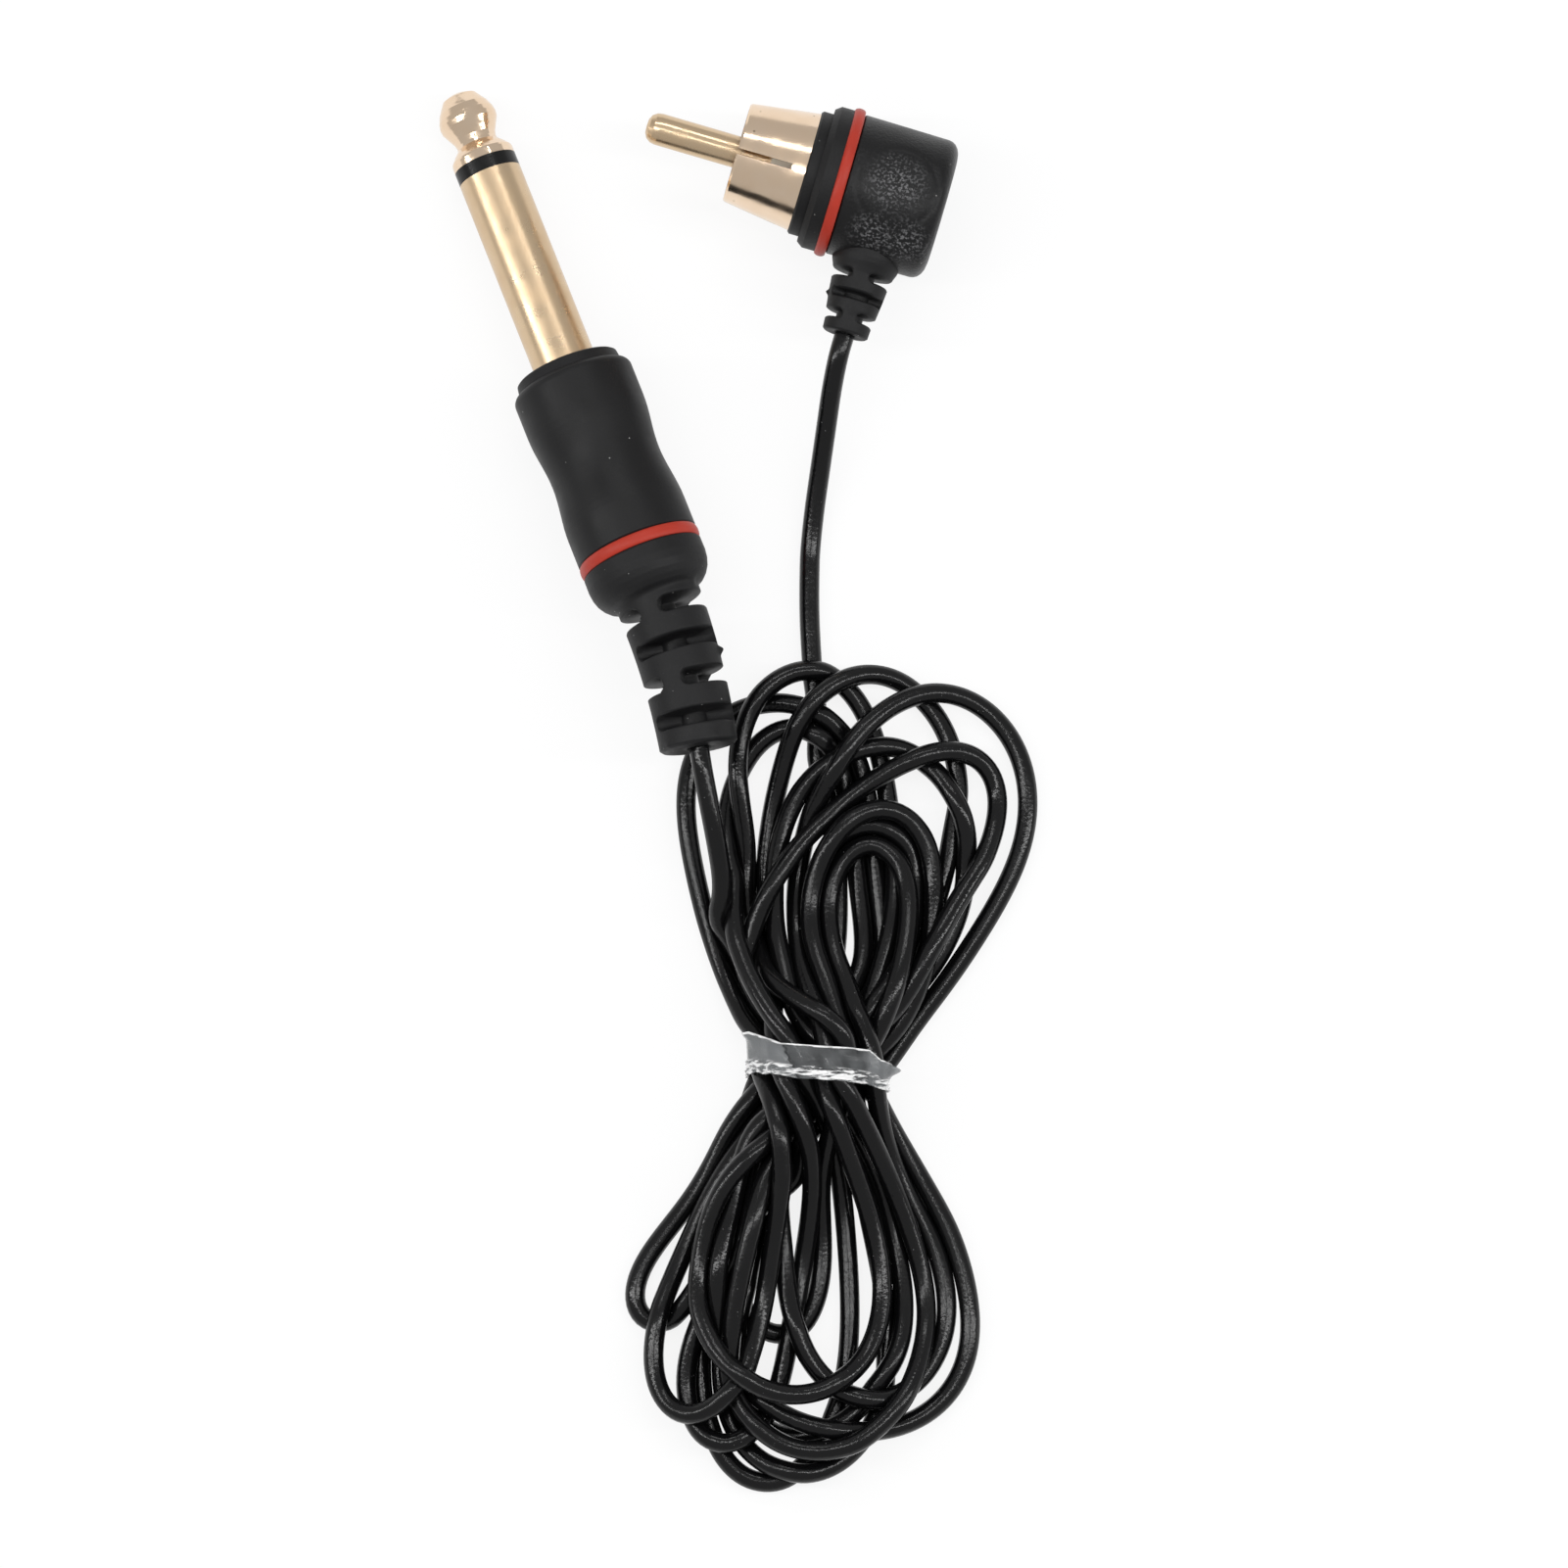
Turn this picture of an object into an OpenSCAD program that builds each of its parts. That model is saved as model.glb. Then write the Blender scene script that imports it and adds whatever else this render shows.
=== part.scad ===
// Instrument cable: a quarter-inch mono plug at one end, a right-angle phono plug at the
// other, and a thin round cord folded into a hank that a band of clear tape holds at its waist.
// Millimetres. X to the right, Y towards the plugs, Z up, on the surface the cable lies on.

/* [Quarter-inch plug] */
// Diameter of the plug's sleeve
jack_d = 6.35; // [6:0.05:7]
// Length of the plug from its tip to the collar
jack_l = 30.3; // [27:0.1:34]
// Largest diameter of the tip's head
head_d = 5.9; // [5.2:0.05:5.95]
// Distance from the end of the tip to the widest part of its head
head_l = 2.8; // [2.4:0.1:3.2]
// Diameter of the neck behind the head
neck_d = 4.1; // [3.4:0.1:4.8]
// Distance from the end of the tip to the neck
neck_l = 5.2; // [4.6:0.1:5.8]
// Length of the whole tip contact
tip_l = 7.6; // [7:0.1:8.6]
// Width of the black insulating band
band_w = 1.4; // [0.8:0.1:2]
// Diameter of the rod that carries the tip
rod_d = 2.2; // [1.6:0.1:2.6]
// Wall of the insulating tube round the rod
tube_wall = 0.7; // [0.4:0.05:0.9]
// Diameter of the sleeve's shoulder inside the collar
shoulder_d = 6.75; // [6.6:0.05:7.4]
// Diameter of the flange behind the sleeve
flange_d = 8.2; // [7.6:0.1:8.8]
// Thickness of that flange
flange_t = 1.2; // [0.8:0.1:1.8]
// Thickness of the solder lugs
lug_t = 0.4; // [0.3:0.05:0.6]
// Thickness of the fibre washer between the lugs
washer_t = 0.8; // [0.5:0.1:1.2]

/* [Grip and boot] */
// Diameter of the collar in front of the grip
collar_d = 10.8; // [10.2:0.1:11.4]
// Length of the collar
collar_l = 1.1; // [0.7:0.1:2]
// Diameter of the inner mould under the grip
mould_d = 9.6; // [9.2:0.1:10]
// Length of the grip
grip_l = 18.5; // [16:0.5:22]
// Diameter of the grip at its two ends
grip_d = 12.3; // [11.9:0.1:13.2]
// Depth of the grip's waist, on the radius
grip_waist = 0.5; // [0:0.05:0.8]
// Width of the coloured ring behind the grip
ring_w = 1.25; // [0.8:0.05:2]
// How far the coloured ring stands above the grip, on the radius
ring_proud = 0.08; // [0:0.02:0.4]
// Length of the boot's round part
boot_l = 4.3; // [3.4:0.1:6]

/* [Strain relief of the quarter-inch plug] */
// Length of the strain relief
relief_l = 15.6; // [15.5:0.1:20]
// Diameter where it leaves the boot
relief_d = 8.4; // [7.6:0.1:9]
// Diameter at its free end
relief_end_d = 7.7; // [6.6:0.1:8]
// Diameter of the core inside the slots
relief_core_d = 4.4; // [3.6:0.1:5]
// Width of one slot
slot_w = 1.5; // [1:0.1:1.8]
// Distance from one row of slots to the next
slot_pitch = 3.6; // [3.3:0.05:3.8]
// Length of the first ring, before the first slot
first_ring = 1.35; // [1:0.05:1.8]
// Rows of slots
slot_rows = 4; // [2:1:4]
// Width of the spines between the slots
spine_w = 2.9; // [2:0.1:3.6]
// How far the relief bends sideways, in degrees
relief_bend = 13; // [2:1:16]

/* [Phono plug] */
// Diameter of the centre pin
pin_d = 3.2; // [3:0.05:3.4]
// Length of the pin in front of the shell
pin_l = 9.3; // [8:0.1:11]
// Diameter of the pin inside the insulator
pin_seat_d = 2.4; // [2.2:0.1:2.8]
// Outside diameter of the shell at its mouth
shell_d = 10.1; // [9.6:0.1:10.6]
// Outside diameter of the shell at its root
shell_root_d = 12; // [11.2:0.1:12.2]
// Length of the shell
shell_l = 7; // [6:0.1:9]
// Wall of the shell
shell_wall = 0.6; // [0.4:0.05:0.8]
// Slots in the shell
shell_slots = 4; // [2:1:6]
// Width of one slot in the shell
shell_slot_w = 0.6; // [0.3:0.05:1]
// Length of the slots in the shell
shell_slot_l = 5.6; // [4:0.1:5.8]

/* [Right-angle body] */
// Diameter of the collar's first step
step_d = 12.6; // [12.3:0.1:13]
// Length of the collar's first step
step_l = 1.2; // [0.8:0.1:2]
// Diameter of the collar's second step
disc_d = 14.5; // [13.6:0.1:15]
// Length of the collar's second step
disc_l = 1.9; // [1.2:0.1:3]
// Diameter of the coloured ring
phono_ring_d = 15.2; // [14.8:0.1:16]
// Width of the coloured ring
phono_ring_w = 1.1; // [0.8:0.1:2]
// Thickness of the coloured ring, from its seat to its outside
phono_ring_t = 1.8; // [1.2:0.1:2.4]
// Diameter of the body next to the ring
body_d = 14.3; // [13.8:0.1:14.6]
// Diameter of the body at its back
body_back_d = 14.1; // [13.4:0.1:14.4]
// Length of the body behind the ring
body_l = 10; // [9:0.1:13]
// Bevel round the back of the body
body_bevel = 1.2; // [0.5:0.1:1.6]
// Wall of the body
body_wall = 1.3; // [1:0.05:1.6]
// Diameter of the round dimple in the body
dimple_d = 8; // [5:0.1:8.4]
// Depth of the dimple below the side of the body
dimple_depth = 0.9; // [0.4:0.05:1]
// Distance from the ring to the middle of the cord's exit
exit_l = 4.1; // [4:0.1:5]
// Length of the strain relief outside the body
side_relief_l = 7.5; // [6.6:0.1:9]
// Diameter where it leaves the body
side_relief_d = 6.6; // [6:0.1:6.8]
// Diameter at its free end
side_relief_end_d = 4.7; // [4.4:0.1:5.6]
// Diameter of its core inside the slots
side_core_d = 3.2; // [2.8:0.1:3.8]
// Width of one of its slots
side_slot_w = 0.7; // [0.5:0.05:0.9]
// Distance from one row of its slots to the next
side_slot_pitch = 2; // [1.8:0.05:2.1]
// Length of its first ring
side_first_ring = 1; // [0.7:0.05:1.2]
// Rows of its slots
side_slot_rows = 3; // [1:1:3]
// Width of its spines
side_spine_w = 1.9; // [1.2:0.1:2.4]

/* [Cord and hank] */
// Diameter of the cord
cord_d = 2; // [1.8:0.05:2.1]
// Diameter of the insulated core
core_d = 0.8; // [0.6:0.05:0.9]
// Diameter of the twisted screen
screen_d = 0.55; // [0.4:0.05:0.7]
// Distance between neighbouring turns at the waist
waist_step = 2.55; // [2.5:0.01:2.7]
// Distance between neighbouring turns at the ends of the loops
loop_step = 2.6; // [2.5:0.01:2.8]
// Distance between neighbouring turns at the sides of the loops
side_step = 3.2; // [3:0.01:3.4]
// Distance between layers
layer_step = 2.5; // [2.5:0.01:2.7]
// Reach of the outermost loop on the plugs' side
upper_reach = 39; // [34:0.5:44]
// Reach of the outermost loop on the far side
lower_reach = 43; // [38:0.5:48]
// Half the width of the outermost loop on the plugs' side
upper_half_w = 13.6; // [13:0.1:17]
// Half the width of the outermost loop on the far side
lower_half_w = 15.6; // [15:0.1:20]
// Height of the band of tape along the cord
tape_h = 4; // [3:0.1:8]
// Thickness of the wound tape
tape_t = 0.4; // [0.3:0.05:0.8]

/* [Hidden] */
$fn = 72;

eps = 0.01;                       // overlap where one cut runs out of a solid
rubber = [0.17, 0.17, 0.17];
vinyl = [0.1, 0.1, 0.1];
gold = [0.85, 0.71, 0.5];
brass = [0.78, 0.62, 0.32];
red = [0.75, 0.24, 0.16];
tin = [0.72, 0.74, 0.76];

// Stations along the quarter-inch plug, from the end of its tip towards the cord
sleeve_at = tip_l + band_w;
collar_at = jack_l;
grip_at = collar_at + collar_l;
flange_at = grip_at + 0.6;
lug_at = flange_at + flange_t;
washer_at = lug_at + lug_t;
tip_lug_at = washer_at + washer_t;
rivet_at = tip_lug_at + lug_t;
rivet_t = 0.5;
wire_room = 7.5;                  // free length of the wires behind the rivet
jacket_at = rivet_at + wire_room;
cavity_end = jacket_at + 0.6;
ring_at = grip_at + grip_l;
boot_at = ring_at + ring_w;
tail_end = boot_at + boot_l / 3;
root_at = boot_at + boot_l;
cavity_r = mould_d / 2 - 1.4;
tail_r = cavity_r;
tube_r = rod_d / 2 + tube_wall;
lug_r = tube_r + 0.8;
arm_w = 1.6;
tip_arm_l = 3.2;
sleeve_arm_l = 5.4;
bead_d = lug_t + 1.4;
bead_l = 1.6;
screen_y = (core_d + screen_d) / 2 + 0.01;  // how far off the cord's middle the screen leaves it
ring_d = grip_d + 2 * ring_proud;
edge = 0.9;                       // rounding of the grip's and the boot's edges

// Stations along the phono plug, from the end of its pin towards its back
mouth_at = pin_l;
shell_end = mouth_at + shell_l;
step_at = shell_end;
disc_at = step_at + step_l;
phono_ring_at = disc_at + disc_l;
body_at = phono_ring_at + phono_ring_w;
body_end = body_at + body_l;
exit_at = body_at + exit_l;
barrel_r = 3.4;
barrel_end = shell_end + 1.8;
boss_r = 3.2;
boss_at = mouth_at + shell_l / 2;
floor_t = 0.6;
pin_tail_r = 0.9;
pin_end = body_at + 0.6;
insulator_end = barrel_end + 0.4;
mould_neck_r = body_d / 2 - body_wall - 0.1;
ring_seat_r = phono_ring_d / 2 - phono_ring_t;
phono_cavity_r = 4.3;
phono_mould_end = body_end - body_bevel - 0.8;
phono_cavity_end = phono_mould_end - 1;
side_root = phono_cavity_r + 0.2;
side_surface = body_d / 2 - 0.15;
side_jacket = 3;

// How the two plugs lie: each rests on the rims that touch the surface
head_r = head_d / 2;
grip_rim_at = grip_at + edge;
jack_rise = atan((grip_d / 2 - head_r) / (grip_rim_at - head_l));
root_h = grip_d / 2 * cos(jack_rise) + (root_at - grip_rim_at) * sin(jack_rise);
jack_heading = 21.3;
jack_root = [-3.95, -18.1, root_h];
phono_rim_at = phono_ring_at + phono_ring_w / 2;
back_rim_at = body_end - body_bevel;
phono_rise = -atan((phono_ring_d - body_back_d) / 2 / (back_rim_at - phono_rim_at));
exit_h = phono_ring_d / 2 * cos(phono_rise) + (exit_at - phono_rim_at) * sin(phono_rise);
phono_heading = 74;
phono_exit = [18.5, 22.35, exit_h];

// The bend of a relief: it starts along its axis and turns by an angle, or 0, over its length
function bend_radius(length, angle) = length / (angle * PI / 180);
function bend_point(s, length, angle) = angle == 0 ? [0, 0, s]
    : let (r = bend_radius(length, angle), a = angle * s / length) [r * (1 - cos(a)), 0, r * sin(a)];

// The same steps as lay_jack and lay_phono, for points and directions
function turn_x(p, a) = [p[0], p[1] * cos(a) - p[2] * sin(a), p[1] * sin(a) + p[2] * cos(a)];
function turn_y(p, a) = [p[0] * cos(a) + p[2] * sin(a), p[1], p[2] * cos(a) - p[0] * sin(a)];
function turn_z(p, a) = [p[0] * cos(a) - p[1] * sin(a), p[0] * sin(a) + p[1] * cos(a), p[2]];
function jack_dir(v) = turn_z(turn_x(v, 90 - jack_rise), jack_heading);
function phono_dir(v) = turn_z(turn_x(v, 90 - phono_rise), phono_heading);
function side_dir(v) = phono_dir(turn_y(v, -90));

// The bend turns in the plane that holds the relief's axis and this side of it
jack_bend_roll = 202;
jack_exit = jack_root
    + jack_dir(turn_z(bend_point(relief_l, relief_l, relief_bend), jack_bend_roll));
jack_exit_dir = jack_dir(turn_z([sin(relief_bend), 0, cos(relief_bend)], jack_bend_roll));
side_exit_dir = side_dir([0, 0, 1]);
side_exit = phono_exit + (side_surface + side_relief_l) * side_exit_dir;

// Small pieces shared by both plugs

module place_jack() {
    translate(jack_root) rotate([0, 0, jack_heading]) rotate([90 - jack_rise, 0, 0])
        translate([0, 0, -root_at]) children();
}

module place_phono() {
    translate(phono_exit) rotate([0, 0, phono_heading]) rotate([90 - phono_rise, 0, 0])
        translate([0, 0, -exit_at]) children();
}

module place_side() {
    place_phono() translate([0, 0, exit_at]) rotate([0, -90, 0]) children();
}

module tube(outer_r, inner_r, from, to) {
    difference() {
        translate([0, 0, from]) cylinder(r = outer_r, h = to - from);
        translate([0, 0, from - eps]) cylinder(r = inner_r, h = to - from + 2 * eps);
    }
}

module bent_rod(d, length, angle, roll) {
    r = angle == 0 ? 0 : bend_radius(length, angle);
    if (angle == 0) cylinder(d = d, h = length);
    else rotate([0, 0, roll]) translate([r, 0, 0]) rotate([0, 0, 180]) rotate([90, 0, 0])
        rotate_extrude(angle = angle, $fn = 180) translate([r, 0]) circle(d = d, $fn = 48);
}

module on_bend(s, length, angle, roll) {
    rotate([0, 0, roll]) translate(bend_point(s, length, angle)) rotate([0, angle * s / length, 0])
        rotate([0, 0, -roll]) children();
}

// A straight wire between two stations, at y = y1 and y = y2 there, cut square at both
module slant_wire(d, from, to, y1, y2) {
    h = to - from;
    lean = atan((y2 - y1) / h);
    intersection() {
        translate([0, y1, from]) rotate([-lean, 0, 0]) translate([0, 0, -h])
            cylinder(d = d, h = 3 * h, $fn = 48);
        translate([-h, -h, from]) cube([2 * h, 2 * h, h]);
    }
}

// A bead of solder over the end of a lug's arm, whose thickness lies about y = 0
module bead(d) {
    difference() {
        relief_ring(d / 2, d / 2, bead_l);
        translate([-arm_w / 2, -lug_t / 2, -eps]) cube([arm_w, lug_t, bead_l / 2 + eps]);
    }
}

// One ring of a relief, with its edges broken
module relief_ring(r1, r2, h) {
    c = min(0.3, h / 5);
    rotate_extrude() polygon([[0, 0], [r1 - c, 0], [r1, c], [r2, h - c], [r2 - c, h], [0, h]]);
}

// A slotted strain relief on its bent axis, from z = 0, with a bore for the cord
module relief(length, root_d, end_d, core, slot, pitch, first, rows, spine, angle, roll) {
    starts = [0, for (i = [0 : rows - 1]) first + slot + i * pitch];
    ends = [for (i = [0 : rows - 1]) first + i * pitch, length];
    function r_at(s) = (root_d + (end_d - root_d) * s / length) / 2;
    difference() {
        union() {
            bent_rod(core, length, angle, roll);
            for (i = [0 : rows]) on_bend(starts[i], length, angle, roll)
                relief_ring(r_at(starts[i]), r_at(ends[i]), ends[i] - starts[i]);
            for (i = [0 : rows - 1]) on_bend(ends[i] + slot / 2, length, angle, roll)
                rotate([0, 0, 90 * ((i + 1) % 2)]) intersection() {
                    cylinder(r = r_at(ends[i]) - 0.2, h = slot + 0.8, center = true);
                    cube([root_d, spine, slot + 0.4], center = true);
                }
        }
        bent_rod(cord_d, length, angle, roll);
        on_bend(length, length, angle, roll) cylinder(d = cord_d, h = 0.2, $fn = 48);
    }
}

// Quarter-inch plug

module jack_tip() {
    color(gold) place_jack() rotate_extrude() polygon([
        [0, 0], [0.35 * head_r, 0], [0.6 * head_r, 0.12 * head_l], [0.87 * head_r, 0.55 * head_l],
        [0.97 * head_r, 0.82 * head_l], [head_r, head_l], [0.975 * head_r, head_l + 0.5],
        [0.89 * head_r, head_l + 1], [neck_d / 2 + 0.12, neck_l - 0.5], [neck_d / 2, neck_l],
        [neck_d / 2 + 0.05, neck_l + 0.35], [jack_d / 2 - 0.45, tip_l - 1.4],
        [jack_d / 2 - 0.05, tip_l - 0.9], [jack_d / 2, tip_l - 0.7], [jack_d / 2, tip_l],
        [rod_d / 2, tip_l], [rod_d / 2, rivet_at], [rod_d / 2 + 0.5, rivet_at],
        [rod_d / 2 + 0.3, rivet_at + rivet_t], [0, rivet_at + rivet_t]]);
}

module jack_insulator() {
    color(vinyl) place_jack() {
        difference() {
            union() {
                translate([0, 0, tip_l]) cylinder(d = jack_d, h = band_w);
                translate([0, 0, tip_l]) cylinder(r = tube_r, h = washer_at - tip_l);
            }
            translate([0, 0, tip_l - eps]) cylinder(d = rod_d, h = washer_at - tip_l + 2 * eps);
        }
    }
}

module jack_sleeve() {
    color(gold) place_jack() difference() {
        union() {
            translate([0, 0, sleeve_at]) cylinder(d = jack_d, h = collar_at - sleeve_at + eps);
            translate([0, 0, collar_at]) cylinder(d = shoulder_d, h = flange_at - collar_at + eps);
            translate([0, 0, flange_at]) cylinder(d = flange_d, h = flange_t);
        }
        translate([0, 0, sleeve_at - eps]) cylinder(r = tube_r, h = lug_at - sleeve_at + 2 * eps);
    }
}

// A flat solder lug: a ring round the rod or tube, with an arm towards the cord
module lug(bore_r, outer_r, from, arm_l, side) {
    difference() {
        union() {
            translate([0, 0, from]) cylinder(r = outer_r, h = lug_t);
            translate([-arm_w / 2, side > 0 ? outer_r - lug_t : -outer_r, from])
                cube([arm_w, lug_t, arm_l]);
        }
        translate([0, 0, from - eps]) cylinder(r = bore_r, h = lug_t + 2 * eps);
    }
}

module jack_sleeve_lug() {
    color(brass) place_jack() lug(tube_r, lug_r, lug_at, sleeve_arm_l, -1);
}

module jack_washer() {
    color("sienna") place_jack() tube(lug_r - lug_t - 0.3, rod_d / 2, washer_at, tip_lug_at);
}

module jack_tip_lug() {
    color(brass) place_jack() lug(rod_d / 2, rod_d / 2 + 1.1, tip_lug_at, tip_arm_l, 1);
}

module jack_inner_mould() {
    color(rubber) place_jack() difference() {
        rotate_extrude() polygon([
            [0, collar_at], [collar_d / 2 - 0.35, collar_at], [collar_d / 2 - 0.15, collar_at + 0.15],
            [collar_d / 2, grip_at], [mould_d / 2, grip_at], [mould_d / 2, boot_at],
            [tail_r, boot_at], [tail_r, tail_end], [0, tail_end]]);
        translate([0, 0, collar_at - eps]) cylinder(d = shoulder_d, h = flange_at - collar_at + 2 * eps);
        translate([0, 0, flange_at]) cylinder(d = flange_d, h = flange_t);
        translate([0, 0, lug_at - eps]) cylinder(r = cavity_r, h = cavity_end - lug_at + eps);
        translate([0, 0, cavity_end - eps]) cylinder(d = cord_d, h = tail_end - cavity_end + 2 * eps);
    }
}

// The grip's outline: round edges and a shallow waist between them
waist_from = 4.1;
waist_to = grip_l - 3;
function grip_r(s) = grip_d / 2 - (s > waist_from && s < waist_to
    ? grip_waist * (1 - cos(360 * (s - waist_from) / (waist_to - waist_from))) / 2 : 0);

module jack_grip() {
    front = [for (a = [0 : 15 : 90])
        [grip_d / 2 - edge * (1 - sin(a)), grip_at + edge * (1 - cos(a))]];
    waist = [for (i = [0 : 16]) let (s = waist_from + i * (waist_to - waist_from) / 16)
        [grip_r(s), grip_at + s]];
    color(rubber) place_jack() rotate_extrude() polygon(concat(
        [[mould_d / 2, grip_at]], front, waist,
        [[grip_d / 2, ring_at - 0.15], [grip_d / 2 - 0.15, ring_at], [mould_d / 2, ring_at]]));
}

module jack_ring() {
    half = ring_w / 2;
    color(red) place_jack() rotate_extrude() polygon(concat([[mould_d / 2, ring_at]],
        [for (a = [-90 : 15 : 90])
            [ring_d / 2 - 0.25 * (1 - cos(a)), ring_at + half + half * sin(a)]],
        [[mould_d / 2, boot_at]]));
}

module jack_boot() {
    boot_r = grip_d / 2 - 0.05;
    flat = 0.3 * boot_l;
    bulge = [for (a = [0 : 10 : 80])
        [relief_d / 2 - 0.3 + (boot_r - relief_d / 2 + 0.3) * cos(a),
         boot_at + flat + (boot_l - flat) * sin(a)]];
    color(rubber) place_jack() difference() {
        union() {
            rotate_extrude() polygon(concat([[0, boot_at], [boot_r - 0.1, boot_at],
                [boot_r, boot_at + 0.1]], bulge,
                [[relief_d / 2 - 0.3, root_at + eps], [0, root_at + eps]]));
            translate([0, 0, root_at])
                relief(relief_l, relief_d, relief_end_d, relief_core_d, slot_w, slot_pitch,
                    first_ring, slot_rows, spine_w, relief_bend, jack_bend_roll);
        }
        translate([0, 0, boot_at - eps]) cylinder(r = tail_r, h = tail_end - boot_at + eps);
        translate([0, 0, boot_at]) cylinder(d = cord_d, h = boot_l + 2 * eps);
    }
}

module jack_jacket_end() {
    color(vinyl) place_jack() {
        translate([0, 0, jacket_at]) cylinder(d = cord_d, h = root_at - jacket_at);
        translate([0, 0, root_at]) bent_rod(cord_d, relief_l, relief_bend, jack_bend_roll);
    }
}

// The arms' middles, where the wires meet them, and the stations where the arms end
tip_arm_y = rod_d / 2 + 1.1 - lug_t / 2;
sleeve_arm_y = -lug_r + lug_t / 2;
tip_arm_end = tip_lug_at + tip_arm_l;
sleeve_arm_end = lug_at + sleeve_arm_l;

module jack_core_wire() {
    color("ivory") place_jack()
        slant_wire(core_d, tip_arm_end + bead_l / 2, jacket_at, tip_arm_y, 0);
}

module jack_screen_tail() {
    color(tin) place_jack()
        slant_wire(screen_d, sleeve_arm_end + bead_l / 2, jacket_at, sleeve_arm_y, -screen_y);
}

module jack_solder() {
    color("gainsboro") place_jack() {
        translate([0, tip_arm_y, tip_arm_end - bead_l / 2]) bead(bead_d);
        translate([0, sleeve_arm_y, sleeve_arm_end - bead_l / 2]) bead(bead_d);
    }
}

// Phono plug

module phono_pin() {
    r = pin_d / 2;
    color(gold) place_phono() rotate_extrude() polygon([
        [0, 0], [0.45 * r, 0.05], [0.75 * r, 0.3], [0.94 * r, 0.75], [r, 1.3], [r, boss_at],
        [pin_seat_d / 2, boss_at], [pin_seat_d / 2, shell_end - floor_t],
        [pin_tail_r, shell_end - floor_t], [pin_tail_r, pin_end], [0, pin_end]]);
}

module phono_insulator() {
    color("ivory") place_phono() difference() {
        union() {
            translate([0, 0, boss_at]) cylinder(r = boss_r, h = shell_end - floor_t - boss_at);
            translate([0, 0, shell_end - floor_t - eps])
                cylinder(r = barrel_r - shell_wall, h = insulator_end - shell_end + floor_t + eps);
        }
        translate([0, 0, boss_at - eps])
            cylinder(d = pin_seat_d, h = shell_end - floor_t - boss_at + eps);
        translate([0, 0, boss_at]) cylinder(r = pin_tail_r, h = insulator_end - boss_at + 1);
    }
}

module phono_shell() {
    w = shell_wall;
    color(gold) place_phono() difference() {
        rotate_extrude() polygon([
            [shell_d / 2 - w, mouth_at], [shell_d / 2 - 0.15, mouth_at], [shell_d / 2, mouth_at + 0.2],
            [shell_root_d / 2, shell_end], [barrel_r, shell_end], [barrel_r, barrel_end],
            [barrel_r - w, barrel_end], [barrel_r - w, shell_end - floor_t],
            [shell_root_d / 2 - w, shell_end - floor_t]]);
        for (i = [0 : shell_slots - 1]) rotate([0, 0, 360 * i / shell_slots + shell_turn])
            translate([shell_d / 4, -shell_slot_w / 2, mouth_at - 1])
                cube([shell_root_d / 2, shell_slot_w, shell_slot_l + 1]);
    }
}
shell_turn = 8;

module phono_ground_lug() {
    color(brass) place_phono() translate([-arm_w / 2, -barrel_r - lug_t, shell_end + 0.4])
        cube([arm_w, lug_t, exit_at - shell_end + 0.8]);
}

module phono_inner_mould() {
    color(rubber) place_phono() difference() {
        rotate_extrude() polygon([
            [0, step_at], [step_d / 2 - 0.2, step_at], [step_d / 2, step_at + 0.2], [step_d / 2, disc_at],
            [disc_d / 2 - 0.45, disc_at], [disc_d / 2, disc_at + 0.6], [disc_d / 2, phono_ring_at],
            [ring_seat_r, phono_ring_at], [ring_seat_r, body_at], [mould_neck_r, body_at],
            [mould_neck_r, phono_mould_end], [0, phono_mould_end]]);
        translate([0, 0, step_at - eps]) cylinder(r = barrel_r, h = barrel_end - step_at + 2 * eps);
        translate([-arm_w / 2, -barrel_r - lug_t, step_at + 0.4])
            cube([arm_w, barrel_r, barrel_end - step_at]);
        translate([0, 0, barrel_end])
            cylinder(r = phono_cavity_r, h = phono_cavity_end - barrel_end);
        translate([0, 0, exit_at]) rotate([0, -90, 0]) cylinder(d = side_relief_d, h = body_d);
    }
}

module phono_ring() {
    half = phono_ring_w / 2;
    color(red) place_phono() rotate_extrude() polygon(concat([[ring_seat_r, phono_ring_at]],
        [for (a = [-90 : 15 : 90])
            [phono_ring_d / 2 - 0.3 * (1 - cos(a)), phono_ring_at + half + half * sin(a)]],
        [[ring_seat_r, body_at]]));
}

module phono_body() {
    back_r = body_back_d / 2;
    color(rubber) place_phono() difference() {
        rotate_extrude() polygon([
            [0, body_at], [body_d / 2 - 0.15, body_at], [body_d / 2, body_at + 0.15],
            [back_r, body_end - body_bevel], [back_r - 0.15 * body_bevel, body_end - 0.62 * body_bevel],
            [back_r - 0.5 * body_bevel, body_end - 0.2 * body_bevel],
            [back_r - body_bevel, body_end], [0, body_end]]);
        translate([0, 0, body_at - eps])
            cylinder(r = mould_neck_r, h = phono_mould_end - body_at + eps);
        translate([0, 0, exit_at]) rotate([0, -90, 0]) cylinder(d = side_relief_d, h = body_d);
        translate([0, body_d / 2 - dimple_depth, dimple_at]) rotate([-90, 0, 0])
            cylinder(d = dimple_d, h = dimple_depth + 1);
    }
}
dimple_at = exit_at + 0.8;

module phono_relief() {
    root_l = side_surface - side_root;
    color(rubber) place_side() difference() {
        union() {
            translate([0, 0, side_root]) cylinder(d = side_relief_d, h = root_l);
            translate([0, 0, side_root]) cylinder(d = side_core_d, h = root_l + side_first_ring / 2);
            translate([0, 0, side_surface])
                relief(side_relief_l, side_relief_d, side_relief_end_d, side_core_d, side_slot_w,
                    side_slot_pitch, side_first_ring, side_slot_rows, side_spine_w, 0, 0);
        }
        translate([0, 0, side_root - eps]) cylinder(d = cord_d, h = root_l + 2 * eps);
    }
}

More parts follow.
